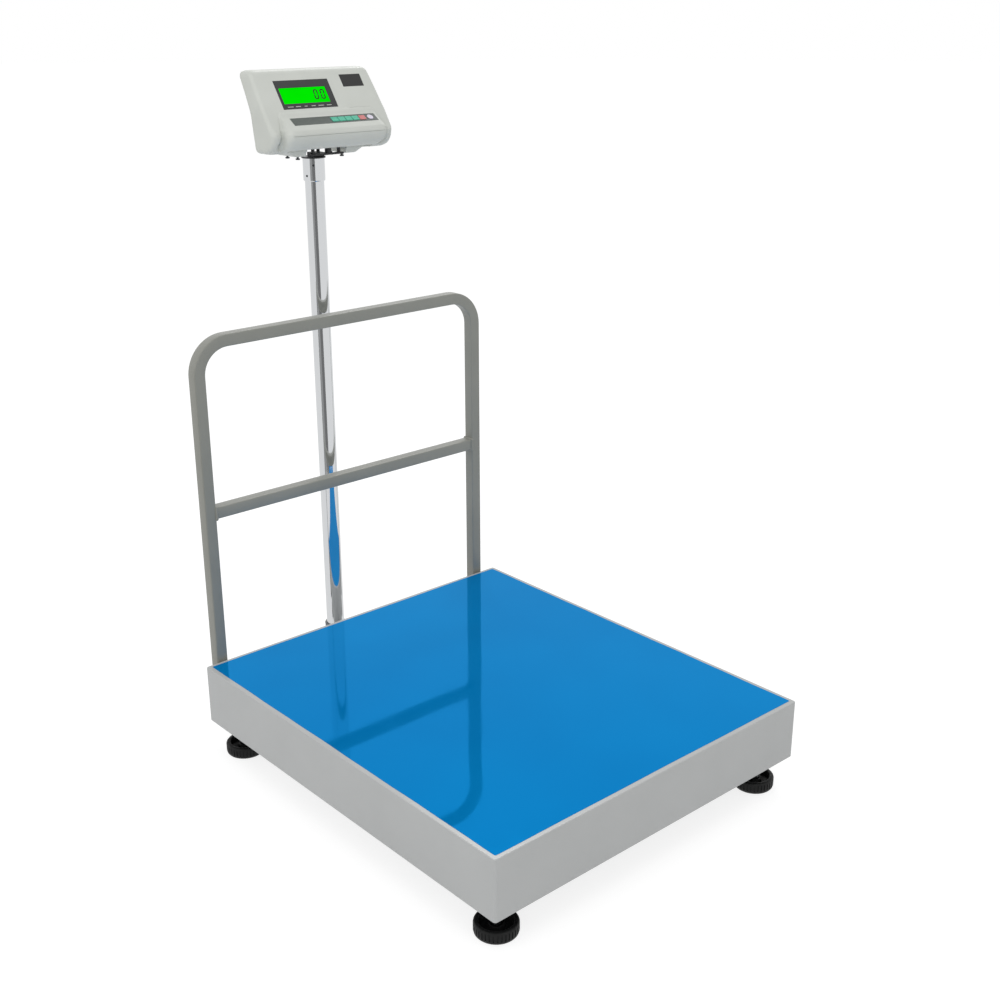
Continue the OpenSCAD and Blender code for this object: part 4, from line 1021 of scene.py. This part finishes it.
def light_world():
    """White to the camera, in reflections and through clear pieces, and a dimmer even light otherwise."""
    world = bpy.data.worlds.new("studio")
    bpy.context.scene.world = world
    world.use_nodes = True
    tree = world.node_tree
    tree.nodes.clear()
    path = add(tree, "LightPath")
    even = add(tree, "Background", {"Color": WHITE, "Strength": 0.62})
    white = add(tree, "Background", {"Color": WHITE, "Strength": 1.0})
    seen = path.outputs["Is Camera Ray"]
    for ray in ("Is Glossy Ray", "Is Transmission Ray"):
        seen = add(tree, "Math", {0: seen, 1: path.outputs[ray]}, operation="MAXIMUM").outputs[0]
    mix = add(tree, "MixShader", {0: seen, 1: even.outputs[0], 2: white.outputs[0]})
    add(tree, "OutputWorld", {"Surface": mix.outputs[0]})


def softbox(name, place_at, aim, size, watts, mirrored=False):
    """An area light. Only a mirrored one is seen in glossy surfaces."""
    light = bpy.data.lights.new(name, "AREA")
    light.shape = "RECTANGLE"
    light.size, light.size_y = size
    light.energy = watts
    obj = bpy.data.objects.new(name, light)
    obj.location = place_at
    obj.rotation_mode = "QUATERNION"
    obj.rotation_quaternion = (Vector(aim) - Vector(place_at)).to_track_quat("-Z", "Y")
    obj.visible_glossy = mirrored
    bpy.context.scene.collection.objects.link(obj)


# The cards lie this far from the column, just over the floor
CARD_NEAR = 1.3
CARD_FAR = 20
CARD_HEIGHT = 0.002


def dark_card(name, left, right, strength):
    """A card on the floor, seen only in reflections. left and right are bearings from the column, in
    degrees from the one towards the camera."""
    bpy.ops.object.select_all(action="DESELECT")
    bpy.ops.mesh.primitive_plane_add(size=1, location=(0, 0, 0))
    card = bpy.context.object
    card.name = name
    corners = [(left, CARD_NEAR), (right, CARD_NEAR), (left, CARD_FAR), (right, CARD_FAR)]
    for vertex, (degrees, reach) in zip(card.data.vertices, corners):
        bearing = AZIMUTH + math.radians(degrees)
        vertex.co = (reach * math.sin(bearing), COLUMN_Y - reach * math.cos(bearing), CARD_HEIGHT)
    material, tree = empty_material(name)
    grey = add(tree, "Emission", {"Color": WHITE, "Strength": strength})
    add(tree, "OutputMaterial", {"Surface": grey.outputs[0]})
    card.data.materials.append(material)
    card.visible_camera = card.visible_diffuse = card.visible_shadow = card.visible_transmission = False


build_floor()
light_world()
# The cards give the chromed column its dark streak.
dark_card("card_left", -34, -12, 0.34)
dark_card("card_right", -12, 20, 0.19)
softbox("overhead", (-0.5, -0.6, 3.6), (0, 0, 0.4), (2.6, 2.6), 23)
softbox("front_left", (-2.9, -2.8, 1.8), (0, 0, 0.5), (1.8, 1.8), 25)
softbox("left_fill", (-1.6, 0.7, 1.4), (0, 0.4, 1.0), (0.9, 0.9), 2.5)
# This bar draws the bright line along the pan's folds.
softbox("back_right", (1.8, 1.93, 2.77), (0, 0, 0.3), (1.4, 0.3), 18, mirrored=True)
bpy.context.scene.view_settings.view_transform = "Standard"
